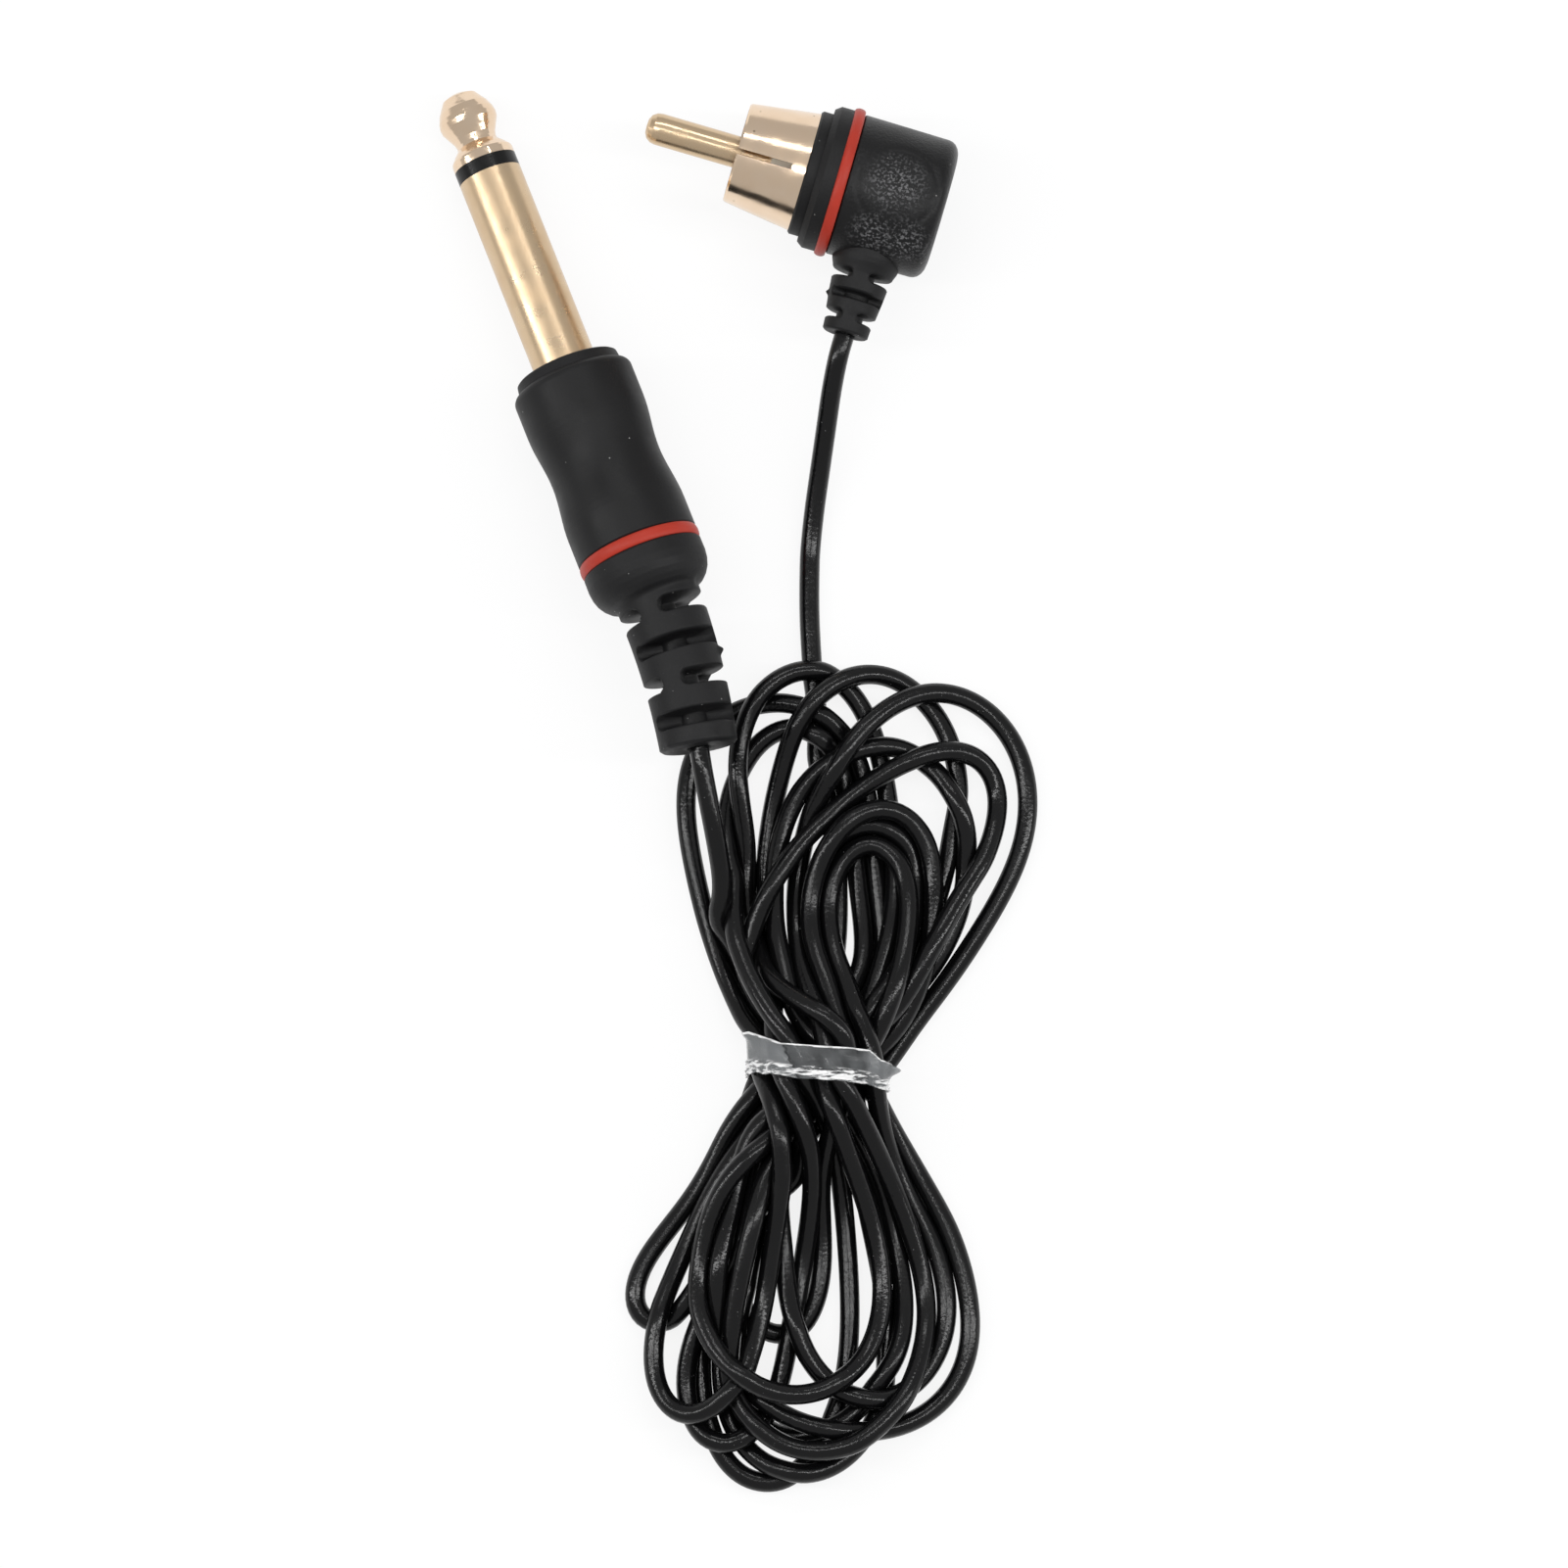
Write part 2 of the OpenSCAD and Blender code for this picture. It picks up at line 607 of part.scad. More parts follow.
module phono_jacket_end() {
    color(vinyl) place_side() translate([0, 0, side_jacket])
        cylinder(d = cord_d, h = side_surface + side_relief_l - side_jacket);
}

module phono_core_wire() {
    r = side_jacket - 0.6;
    color("ivory") place_phono() {
        translate([0, 0, pin_end]) cylinder(d = core_d, h = exit_at - r - pin_end, $fn = 48);
        translate([0, 0, exit_at - r]) bent_rod(core_d, r * PI / 2, 90, 180);
        translate([-r, 0, exit_at]) rotate([0, -90, 0])
            cylinder(d = core_d, h = side_jacket - r, $fn = 48);
    }
}

module phono_screen_tail() {
    r = side_jacket - 0.6;
    color(tin) place_phono() translate([-side_jacket, -screen_y, exit_at]) rotate([0, 90, 0]) {
        bent_rod(screen_d, r * PI / 2, 90, -90);
        translate([0, -r, r]) rotate([90, 0, 0])
            cylinder(d = screen_d, h = barrel_r - screen_y - r, $fn = 48);
    }
}

module phono_solder() {
    color("gainsboro") place_phono() {
        translate([-0.6, -barrel_r, exit_at]) rotate([-90, 0, 0]) tube(0.8, screen_d / 2, 0, 0.4);
        rotate_extrude() polygon([
            [pin_tail_r, pin_end - 0.7], [1.1, pin_end - 0.7], [1.35, pin_end - 0.3],
            [1.2, pin_end + 0.3], [core_d / 2 + 0.2, pin_end + 0.8], [core_d / 2, pin_end + 0.8],
            [core_d / 2, pin_end], [pin_tail_r, pin_end]]);
    }
}

// Cord

function unit(v) = v / norm(v);
// Corners of one ring round a point of the route, square to its direction
function ring_at_point(p, dir, sides) =
    let (s = unit(cross([0, 0, 1], dir)), w = cross(dir, s))
    [for (k = [0 : sides - 1]) let (a = 90 + 360 * k / sides)
        p + cord_d / 2 * (cos(a) * s + sin(a) * w)];

// One unbroken tube through the route's points, flat at both ends
module cord_tube(route, first_dir, last_dir, sides) {
    n = len(route);
    dirs = [for (i = [0 : n - 1]) i == 0 ? unit(first_dir)
        : i == n - 1 ? unit(last_dir) : unit(route[i + 1] - route[i - 1])];
    points = [for (i = [0 : n - 1]) each ring_at_point(route[i], dirs[i], sides)];
    walls = [for (i = [0 : n - 2], k = [0 : sides - 1])
        let (a = i * sides + k, b = i * sides + (k + 1) % sides)
        each [[a, a + sides, b], [b, a + sides, b + sides]]];
    caps = [for (k = [1 : sides - 2]) each [[0, k, k + 1],
        [(n - 1) * sides, (n - 1) * sides + k + 1, (n - 1) * sides + k]]];
    polyhedron(points, concat(walls, caps));
}

function route_length(p) = len(p) < 2 ? 0
    : sum([for (i = [1 : len(p) - 1]) norm(p[i] - p[i - 1])]);
function sum(v) = v * [for (i = v) 1];

// The hank: the cord spirals in, climbs a layer, spirals out and climbs again, in four layers.
// A turn is counted in u, which starts at the waist's right and first runs down the far side.
turns = 9.5;
half_spiral = 2.5;
rings_per_turn = 24;
lift = tape_t + 0.2;
hank_at = [10.9, -63.9];
waist_half = 2.75 * waist_step;
// Degrees by which the loops of each layer lean to the right, on the plugs' and the far side
upper_lean = [-8, 6, 14, 22];
lower_lean = [-14, 8, 17, -6];
lean_reach = 12;                  // distance from the waist over which the lean sets in
pinch = 0.22;                     // how gently the loops open from the waist
climb = 0.13;                     // share of a turn that a climb takes

function smooth(t) = t <= 0 ? 0 : t >= 1 ? 1 : t * t * (3 - 2 * t);
function depth(u) = let (v = u % (2 * half_spiral)) min(v, 2 * half_spiral - v);
// A climb takes the middle of the run on which the spiral reverses
function layer(u) = sum([for (i = [1 : 3]) smooth((u - i * half_spiral) / climb + 0.5)]);
function drawn_in(s) = (sqrt(s * s + pinch * pinch) - pinch) / (sqrt(1 + pinch * pinch) - pinch);

function hank_point(u) =
    let (s = sin(360 * u), c = cos(360 * u), d = depth(u), far = s > 0,
         pile = floor(u / half_spiral),
         reach = (far ? lower_reach : upper_reach) - loop_step * d,
         half_w = (far ? lower_half_w : upper_half_w) - side_step * d,
         waist = waist_half - waist_step * d,
         swell = 1.515 * (1.389 * half_w - waist),
         y = -reach * s,
         lean = far ? lower_lean[pile] : -upper_lean[pile],
         p = turn_z([c * (waist + swell * drawn_in(s)), y, 0], lean * (1 - exp(-pow(y / lean_reach, 2)))))
    [hank_at[0] + p[0], hank_at[1] + p[1],
     cord_d / 2 + layer_step * layer(u) + lift * exp(-y * y / 40)];

hank_start = hank_point(0) + [0, cord_d, 0];
hank_end = hank_point(turns) + [0, cord_d, 0];
hank_route = concat([hank_start], [for (i = [0 : turns * rings_per_turn]) hank_point(i / rings_per_turn)],
    [hank_end]);

// The free stretches, from each plug's strain relief to the hank
jack_route = concat([jack_exit, jack_exit + cord_d * jack_exit_dir],
    [[1, -39, 9.7], [1.7, -44, 9.1], [2.6, -49, 8.7], [3.6, -54, 8.7]],
    [hank_end + [0, cord_d, 0], hank_end]);
phono_route = concat([side_exit, side_exit + cord_d * side_exit_dir],
    [[14, 2, 5.8], [12.9, -3, 4], [12.1, -8, 2.4], [11.5, -13, 1.4], [11.2, -18, 1],
     [11.8, -22.4, 1], [15, -26, 1], [19.2, -29.6, 1], [22.2, -34.4, 1], [23.6, -39.6, 1],
     [23.5, -45, 1], [22.2, -50.2, 1], [20.1, -55, 1.1]],
    [hank_start + [0, cord_d, 0], hank_start]);

module jack_lead() {
    color(vinyl) cord_tube(jack_route, jack_exit_dir, [0, -1, 0], 8);
}

module phono_lead() {
    color(vinyl) cord_tube(phono_route, side_exit_dir, [0, -1, 0], 8);
}

module hank() {
    color(vinyl) cord_tube(hank_route, [0, -1, 0], [0, 1, 0], 6);
}

// The band of tape: a flattened ring round the waist, with its free end standing off
module hank_tape() {
    play = 0.15;
    side_play = 0.85;
    half = (waist_half + waist_half - waist_step / 2) / 2 + cord_d / 2 + side_play;
    mid = waist_step / 4;
    low = lift - play;
    high = lift + cord_d + 3 * layer_step + play;
    module outline(grow) {
        r = cord_d / 2 + play + grow;
        w = half - cord_d / 2 - play;
        h = (high - low) / 2 - cord_d / 2 - play;
        for (sx = [-1, 1], sy = [-1, 1]) translate([sx * w, sy * h]) circle(r = r, $fn = 48);
        square([2 * w, 2 * (h + r)], center = true);
        square([2 * (w + r), 2 * h], center = true);
    }
    color([0.8, 0.82, 0.84, 0.6])
        translate([hank_at[0] + mid, hank_at[1] + tape_h / 2, (high + low) / 2]) rotate([90, 0, 0])
        linear_extrude(tape_h) difference() {
            union() {
                outline(tape_t);
                translate([half + tape_t / 2, -tape_t / 2]) square([2, tape_t]);
            }
            outline(0);
        }
}

// Least gap between stretches of the hank that are at least a quarter turn apart, and the
// cord's length from one strain relief to the other
samples = [for (i = [0 : turns * 36]) hank_point(i / 36)];
function least_gap(p, apart) = min([for (i = [0 : len(p) - 1 - apart], j = [i + apart : len(p) - 1])
    norm(p[i] - p[j])]) - cord_d;
echo(least_gap_in_hank_mm = least_gap(samples, 9));
echo(cord_length_mm = route_length(jack_route) + route_length(hank_route) + route_length(phono_route));

jack_tip();
jack_insulator();
jack_sleeve();
jack_sleeve_lug();
jack_washer();
jack_tip_lug();
jack_inner_mould();
jack_grip();
jack_ring();
jack_boot();
jack_jacket_end();
jack_core_wire();
jack_screen_tail();
jack_solder();
phono_pin();
phono_insulator();
phono_shell();
phono_ground_lug();
phono_inner_mould();
phono_ring();
phono_body();
phono_relief();
phono_jacket_end();
phono_core_wire();
phono_screen_tail();
phono_solder();
jack_lead();
hank();
phono_lead();
hank_tape();
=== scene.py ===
"""A thin cable in a taped hank, with a quarter-inch plug and a right-angle phono plug."""

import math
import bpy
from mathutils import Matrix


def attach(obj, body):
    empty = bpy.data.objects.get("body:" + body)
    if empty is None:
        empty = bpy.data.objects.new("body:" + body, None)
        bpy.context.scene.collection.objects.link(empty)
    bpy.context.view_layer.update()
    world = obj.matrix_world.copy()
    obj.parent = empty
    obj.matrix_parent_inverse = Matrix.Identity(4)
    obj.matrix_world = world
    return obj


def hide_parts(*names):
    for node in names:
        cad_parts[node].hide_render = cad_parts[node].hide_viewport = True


bl_info = {
    "name": "Instrument cable",
    "version": (1, 0, 0),
    "blender": (4, 5, 0),
    "location": "3D View > Sidebar > Cable",
    "description": "Dresses the taped cable and its two plugs, and lights them",
    "category": "Object",
}

import bmesh
import bpy
import numpy as np
from bpy.props import FloatProperty, FloatVectorProperty, IntProperty, PointerProperty
from mathutils import Vector, geometry, noise

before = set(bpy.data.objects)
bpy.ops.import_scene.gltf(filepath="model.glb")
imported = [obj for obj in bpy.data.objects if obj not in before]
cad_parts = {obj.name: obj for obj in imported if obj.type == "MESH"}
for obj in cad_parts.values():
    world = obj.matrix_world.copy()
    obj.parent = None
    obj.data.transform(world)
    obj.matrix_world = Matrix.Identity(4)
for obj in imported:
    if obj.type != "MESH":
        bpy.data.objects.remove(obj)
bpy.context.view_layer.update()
MM = 0.001

# Where the cord leaves the two strain reliefs, in millimetres, and which way
JACK_EXIT = (0.139, -33.086, 9.622)
JACK_EXIT_DIR = (0.1609, -0.9867, 0.0213)
SIDE_EXIT = (14.503, 8.412, 7.314)
SIDE_EXIT_DIR = (-0.2756, -0.9613, 0.0)
# The quarter-inch plug's axis: the end of its tip, and the way from there to the cord
JACK_TIP = (-23.975, 33.261, 2.631)
JACK_WAY = (0.361133, -0.926258, 0.107842)
# The phono plug's axis: the end of its pin, and the way from there to the back of its body
PHONO_TIP = (-5.106, 29.119, 8.758)
PHONO_WAY = (0.959603, -0.275162, -0.058722)
# Distance from the tip to the boot's end, where the strain relief begins, and both reliefs' lengths
JACK_ROOT_AT = 55.45
JACK_RELIEF_L = 15.6
SIDE_RELIEF_L = 7.5

# The cord's free ends, from the phono plug to the waist and from the waist to the other plug
PHONO_LEAD = [SIDE_EXIT, (13.952, 6.489, 7.314), (13.3, 3.5, 6.2), (12.6, -1, 4.2), (12, -5, 2.6),
              (11.5, -8.5, 1.6), (11.1, -12.5, 1), (11, -16.5, 1), (11, -20.5, 1), (11.2, -24, 1),
              (12, -28.5, 1), (13.2, -33, 1), (13.8, -38, 1), (13.9, -44, 1), (13.6, -50, 1),
              (12.8, -56.5, 1)]
JACK_LEAD = [(5.6, -58, 6), (5, -54, 6.5), (3.7, -49, 7.5), (2.3, -43.5, 8.5), (1.1, -38.5, 9.2),
             (0.461, -35.06, 9.58), JACK_EXIT]

# The loops of the hank, in millimetres, each from its left end to its right end, after a number
# that says how high it lies among the loops on its side of the waist
UPPER_LOOPS = {
    "left_low": (1, [(3, -54.5), (0, -45.5), (-1.5, -37), (0.5, -31.5), (6, -28.5), (12, -30),
                     (16, -37.5), (17.5, -47.5), (18.3, -57.5)]),
    "left_inner": (2, [(4.5, -54.5), (3.6, -46), (3.6, -38.5), (5.2, -33), (9, -30.2),
                       (13, -32.7), (15.2, -38.5), (16.2, -47.5), (17, -57)]),
    "left_tall": (3, [(5.5, -55), (4, -46), (3.3, -37), (4.5, -30.5), (7, -27), (11.5, -25),
                      (15.5, -27.5), (18, -33.5), (18.8, -41.5), (18.5, -50.5), (18.5, -57.5)]),
    "middle_tall": (4, [(7, -55.5), (6.5, -48), (7.5, -39.5), (9, -33.5), (11.5, -28.5),
                        (17, -25.5), (22, -27.5), (25.2, -32.5), (26, -39.5), (23.5, -48),
                        (20, -57.5)]),
    "middle_wide": (5, [(8, -56.5), (7, -49), (8, -41), (12, -35.5), (18.5, -32.5), (23.5, -35),
                        (26.7, -41), (26.5, -48), (21.8, -56.5)]),
    "hidden": (3.2, [(13, -57.5), (11.7, -50), (11.9, -45), (13.7, -41.2), (17, -39.6),
                     (20.3, -41.4), (21.7, -46), (21, -52), (18.8, -58.5)]),
    "inner": (6, [(12, -57), (10.5, -51), (12, -44.5), (15, -40), (18.5, -38.5), (21.5, -40.5),
                  (23.5, -46), (22.5, -52), (19.5, -59)]),
    "innermost": (7, [(14.5, -57.5), (12.6, -51.5), (12.6, -46.5), (14.1, -42.5), (17.1, -41),
                      (20.1, -42.7), (21.2, -47.2), (20.4, -52.5), (18.2, -58.5)]),
    "right_wide": (8, [(11, -56.5), (10, -50), (11.5, -39.5), (14.5, -33.5), (19.5, -29),
                       (24.5, -27.5), (29.5, -30), (32.5, -35), (32.5, -42), (28, -50.5),
                       (21.5, -58)]),
    "right_top": (9, [(7, -58), (6, -52), (8.5, -44.5), (14.5, -38.5), (21.5, -34.5),
                      (26.5, -33), (29.7, -35), (30, -39.5), (26.5, -45.5), (23.5, -51),
                      (20, -57.5)]),
}
LOWER_LOOPS = {
    "far_left": (3.5, [(4.5, -69.5), (0.5, -76), (-4.6, -81), (-7.2, -84.4), (-7, -87.6),
                       (-4.2, -89.4), (-1.1, -87.7), (1.4, -83.2), (4, -78.5), (10, -68)]),
    "long": (1, [(5.5, -70.5), (2, -81.5), (0.8, -92), (1.2, -99.5), (5, -104), (10, -102.5),
                 (14, -96.5), (15, -87), (14.2, -76.5), (13, -68.5)]),
    "long_wide": (2, [(6.5, -70.5), (3.5, -82), (2, -91), (3.3, -98.5), (7.5, -102.7),
                      (13, -102.7), (17.5, -97), (18.7, -88), (17.3, -76.5), (15, -68.5)]),
    "short": (2.5, [(7.5, -71), (4.4, -77), (2.8, -83), (3.8, -88), (7.5, -90.3), (11.2, -88),
                    (12.4, -83), (11.6, -70)]),
    "narrow": (4, [(7, -72), (2.5, -84), (-1, -92), (-1, -97.2), (1.3, -100.6),
                   (4.6, -100.6), (7.1, -97), (9.2, -88.5), (11, -79), (11.5, -71)]),
    "buried": (3, [(7.5, -71), (4.6, -82), (2.8, -91), (4.4, -97), (9.2, -99.6), (15, -98.3),
                   (19.3, -93), (20.3, -84), (18, -75), (15.3, -68.5)]),
    "wide": (6, [(6.5, -70), (3.5, -79), (1.7, -87.5), (3.5, -94), (9, -97.8), (16, -98.7),
                 (23, -97), (27.2, -90.5), (25.3, -82.5), (21, -75), (18, -68.5)]),
    "right": (5, [(8.5, -71.5), (8.5, -80.5), (9, -88.5), (12.5, -94.2), (18.5, -95.5),
                  (23.5, -91.7), (25, -86), (22.7, -79.5), (18, -71)]),
    "round": (7, [(7.5, -71), (5, -81.5), (3.2, -91.5), (5.5, -98.5), (11, -101), (18, -97.7),
                  (22.3, -91.5), (22.3, -82.5), (18.5, -74), (15.8, -68.5)]),
    "front": (10, [(6, -70), (2.2, -77.5), (0.3, -86), (2.5, -92.7), (9, -96), (15, -94),
                   (18.3, -87.5), (17.3, -79), (13.5, -70)]),
    "front_left": (9, [(5, -70), (0.5, -78.5), (-4, -88), (-4.5, -94.5), (-1, -98.5), (3, -95.5),
                       (6.5, -87), (8, -75), (8, -69)]),
}
# The order in which the cord takes the loops: a lower one, an upper one and so on
LOWER_ORDER = ["far_left", "long", "long_wide", "short", "narrow", "buried", "wide", "right",
               "round", "front", "front_left"]
UPPER_ORDER = ["left_low", "left_inner", "middle_wide", "left_tall", "middle_tall", "hidden",
               "inner", "innermost", "right_wide", "right_top"]
# The runs at the waist, from left to right. What comes up from a lower loop lies in front of
# what comes down from an upper one.
FRONT_RUNS = ["front_left", "far_left", "narrow", "long", "front", "buried", "long_wide",
              "round", "short", "wide", "right"]
BACK_RUNS = ["left_low", "left_inner", "lead", "middle_wide", "left_tall", "right_top",
             "middle_tall", "hidden", "innermost", "inner", "right_wide"]
WAIST_Y = -64.0
WAIST_X = (6.2, 17.3)
# The loops are drawn this much longer than they lie, because the cord's stiffness pulls them in
LOOP_STRETCH = 1.04
# The laying of the cord: how far it sinks in a round, in millimetres, and the shares of a bend,
# of a drift from its drawn place and of a stretch that a round takes out
SINK = 0.02
STIFFNESS = 0.045
HOMING = 0.045
TAUTNESS = 0.15
# Before that, the turns are piled up in rounds of their own, at most so many cords high
PILE_ROUNDS = 300
PILE_STIFFNESS = 0.12
MOST_LAYERS = 6.5
# The cord is tied where it is this near to the waist, in millimetres
TIED_REACH = 2.5
# The cord's two ends that stay as drawn, then the stretches before the quarter-inch plug over
# which it leaves the drawn line and over which it is eased off the loops, in millimetres
HELD_AT_PHONO = 24
HELD_AT_JACK = 4
BLENDED_AT_JACK = 26
EASED_AT_JACK = 34
# The tape's two edges, as places across the hank and the places along it where the edge lies
TAPE_TOP = ((5.0, 8.2, 11.9, 16.9, 18.0, 19.2), (-60.7, -62.2, -62.5, -62.8, -63.7, -63.9))
TAPE_LOW = ((5.3, 9.6, 14.1, 18.3), (-64.8, -65.7, -66.0, -66.5))
# The middle of the waist in x and z, and the tape's points along and round it
TAPE_MIDDLE = (11.75, 4.5)
TAPE_ROWS = 32
TAPE_AROUND = 360
# The film, with places along it as shares from its lower edge: below the first it is bunched up,
# and above the second its cut edge catches the light
BUNCHED_BELOW = 0.42
EDGE_ABOVE = 0.955
# The tip that stands off at the right: its angle, its share along the film and its height
FLARE_ANGLE = 0.12
FLARE_SHARE = 0.72
FLARE_H = 1.3
# The crease on the left and the place on the right from which the film is hazy, in x
CREASE_X = 8.2
HAZY_FROM_X = 16.2

# The round mouldings' outlines: closed rings of distances along the axis and radii. The strain
# reliefs' distances start at their roots, and the body's at the end of the pin.
BOOT_PROFILE = [
    (JACK_RELIEF_L - 0.25, 3.88), (JACK_RELIEF_L, 3.6), (JACK_RELIEF_L, 1.25),
    (JACK_RELIEF_L - 0.3, 1.02), (-2.8, 1.02), (-2.87, 3.4), (-4.3, 3.42), (-4.3, 6.0),
    (-4.15, 6.13), (-2.9, 6.15), (-2.1, 6.05), (-1.4, 5.82), (-0.8, 5.45), (-0.35, 5.0),
    (-0.05, 4.45), (0.1, 4.3), (0.3, 4.25), (7.5, 4.07)]
SIDE_PROFILE = [
    (SIDE_RELIEF_L - 0.15, 2.3), (SIDE_RELIEF_L, 2.12), (SIDE_RELIEF_L, 1.15),
    (SIDE_RELIEF_L - 0.2, 1.02), (-2.5, 1.02), (-2.5, 3.2), (-1.6, 3.42), (-0.9, 3.5),
    (-0.2, 3.46), (0.4, 3.32), (0.9, 3.12), (1.5, 2.92), (3.4, 2.76), (5.2, 2.55),
    (5.9, 2.4), (6.4, 2.36)]
BODY_PROFILE = [
    (20.5, 5.75), (20.5, 6.95), (20.65, 7.13), (29.2, 7.06), (29.55, 6.99), (29.9, 6.8),
    (30.2, 6.45), (30.4, 6.0), (30.5, 5.4), (30.5, 0), (28.5, 0), (28.5, 5.75)]
# Their slots, each with a twin across the moulding: distance along the axis, angle in degrees.
# Then half a slot's angle and half its width, for all the slots of one moulding.
BOOT_SLOTS = ((1.7, 70), (5.4, 8), (9.1, 70), (12.9, 8))
BOOT_SLOT_HALF = (74, 0.72)
SIDE_SLOTS = ((1.7, 90), (3.75, 12), (5.85, 90))
SIDE_SLOT_HALF = (71, 0.38)
# The core that the slots reach down to, and the width over which a slot's edge is rounded
SLOT_CORE_R = 1.35
SLOT_EDGE = 0.16
# Small flaws of the mould: distance along the axis, angle in degrees, height, size
BOOT_LUMPS = ((6.9, 80, 0.5, 0.35), (15.2, 30, 0.12, 0.5), (15.3, -50, 0.1, 0.4),
              (0.2, 60, 0.12, 0.5))
SIDE_LUMPS = ((3.9, -85, 0.3, 0.22),)
# Lengths of the mesh's faces along the visible skin and inside, and the faces round a moulding
FINE_STEP = 0.13
COARSE_STEP = 1.0
SLEEVE_FACES = 150
BODY_FACES = 220
# The body's radii from which its mesh is fine and from which its skin takes the dish
BODY_FINE_R = 6.9
BODY_SKIN_R = 6.5
# The shallow dish on top of the phono plug's body: its distance from the pin's end, its radius,
# its depth, and the width and depth of the groove round it
DISH_AT = 25.4
DISH_R = 4.0
DISH_DEPTH = 0.16
RIM_W = 0.25
RIM_DEPTH = 0.09
# Where the lamps' glints are painted pale on the body's grain: the place, and the distances at
# which the painted glint is full and none
GLINT_SPOTS = (((19.6, 22.4, 14.3), 0.8, 3.6), ((17.2, 17.4, 12.6), 0.6, 3.0),
                ((20.2, 16.6, 12.4), 0.6, 3.2))

# The point that the camera and the lamps face, in millimetres, and the long side of the lamps
LOOK_AT = (8.5, -35.5, 0)
STRIP_L = 0.9


def linear(hex_colour):
    """An sRGB colour such as #C9AA78 as the linear values that a shader takes."""
    channels = [int(hex_colour[k:k + 2], 16) / 255 for k in (1, 3, 5)]
    return [c / 12.92 if c <= 0.04045 else ((c + 0.055) / 1.055) ** 2.4 for c in channels]


def colour(name, description, hex_colour):
    """A colour that a user can change."""
    return FloatVectorProperty(name=name, description=description, subtype="COLOR", size=3,
                               min=0, max=1, default=linear(hex_colour))


def length(name, description, default):
    """A length that a user can change, in metres."""
    return FloatProperty(name=name, description=description, unit="LENGTH", min=0,
                         default=default, precision=5)


class CableSizes(bpy.types.PropertyGroup):
    """Sizes of the cord and the tape, and how the cord is laid."""
    cord_d: length("Cord diameter", "Diameter over the cord's jacket", 2.0 * MM)
    cord_length: length("Cord length", "Length from one strain relief to the other", 1.8)
    cord_step: length("Cord step", "Distance between points while the cord is laid", 1.0 * MM)
    settle_rounds: IntProperty(name="Settling rounds", min=20, default=420,
                               description="Rounds in which the laid cord sinks and spreads")
    tape_t: length("Tape thickness", "Thickness of the wound tape", 0.08 * MM)


class CableColours(bpy.types.PropertyGroup):
    """Colours of the finishes."""
    gold: colour("Gold plate", "Champagne gold of the plugs", "#DAC3A4")
    pale: colour("Pale gold", "Whiter gold of the quarter-inch plug's tip and the phono shell",
                 "#F0DAC2")
    grip: colour("Soft-touch black", "The grip's and the body's black", "#131314")
    boot: colour("Matt black vinyl", "The boot's and the strain reliefs' black", "#151516")
    ring: colour("Red ring", "The coloured rings", "#A93223")
    cord: colour("Black cord", "The cord's jacket", "#0B0B0C")
    tape: colour("Clear tape", "Haze of the clear tape", "#8E9193")
    floor: colour("Floor", "The surface under the cable", "#FAFAFB")


class CableStudio(bpy.types.PropertyGroup):
    """Camera and lamps."""
    lens: FloatProperty(name="Lens", description="Focal length, in millimetres", min=10,
                        default=254.8, subtype="DISTANCE_CAMERA")
    distance: length("Distance", "From the camera to the middle of the cable", 1.1)
    elevation: FloatProperty(name="Elevation", description="Height of the camera above the horizon",
                             subtype="ANGLE", default=math.radians(83))
    strip_power: FloatProperty(name="Strip lamps", description="Power of each strip lamp",
                               subtype="POWER", min=0, default=2.2)
    strip_w: length("Strip width", "Width of each strip lamp", 0.045)
    sky: FloatProperty(name="Sky", description="Strength of the even light all round", min=0,
                       default=0.55)


# Materials: each is built from nodes by one function, on Object coordinates

def add_node(tree, kind, inputs=None, output=0, **settings):
    """Adds a node with its settings. Its inputs go by name or number, and each is a value or
    another node's output. Returns one of its own outputs."""
    node = tree.nodes.new(kind)
    for name, value in settings.items():
        setattr(node, name, value)
    for key, value in (inputs or {}).items():
        if isinstance(value, bpy.types.NodeSocket):
            tree.links.new(value, node.inputs[key])
        else:
            node.inputs[key].default_value = value
    return node.outputs[output] if node.outputs else None


def new_material(name, **values):
    """An empty material with its shader, which has these values, and its coordinates."""
    material = bpy.data.materials.new(name)
    material.use_nodes = True
    tree = material.node_tree
    tree.nodes.clear()
    surface = add_node(tree, "ShaderNodeBsdfPrincipled", values)
    add_node(tree, "ShaderNodeOutputMaterial", {"Surface": surface})
    place = add_node(tree, "ShaderNodeTexCoord", output="Object")
    return material, tree, surface.node, place


def rgba(base, factors=1):
    """A colour, with its channels scaled, as a colour input takes it."""
    return (*np.minimum(1, np.multiply(base, factors)).tolist(), 1)


def finish(tree, shader, skin, roughness, normal):
    """Joins a surface's colour, roughness and normal to the shader."""
    tree.links.new(skin, shader.inputs["Base Color"])
    tree.links.new(roughness, shader.inputs["Roughness"])
    tree.links.new(normal, shader.inputs["Normal"])


def clouded(tree, place, size_mm, detail, low, skins, roughnesses):
    """Faint clouds of a size, as a colour between two and a roughness between two."""
    clouds = add_node(tree, "ShaderNodeTexNoise",
                      {"Vector": place, "Scale": 1 / (size_mm * MM), "Detail": detail})
    skin = add_node(tree, "ShaderNodeMix", {0: clouds, 6: skins[0], 7: skins[1]}, output=2,
                    data_type="RGBA")
    satin = add_node(tree, "ShaderNodeMapRange",
                     {"Value": clouds, "From Min": low, "From Max": 0.7,
                      "To Min": roughnesses[0], "To Max": roughnesses[1]})
    return skin, satin


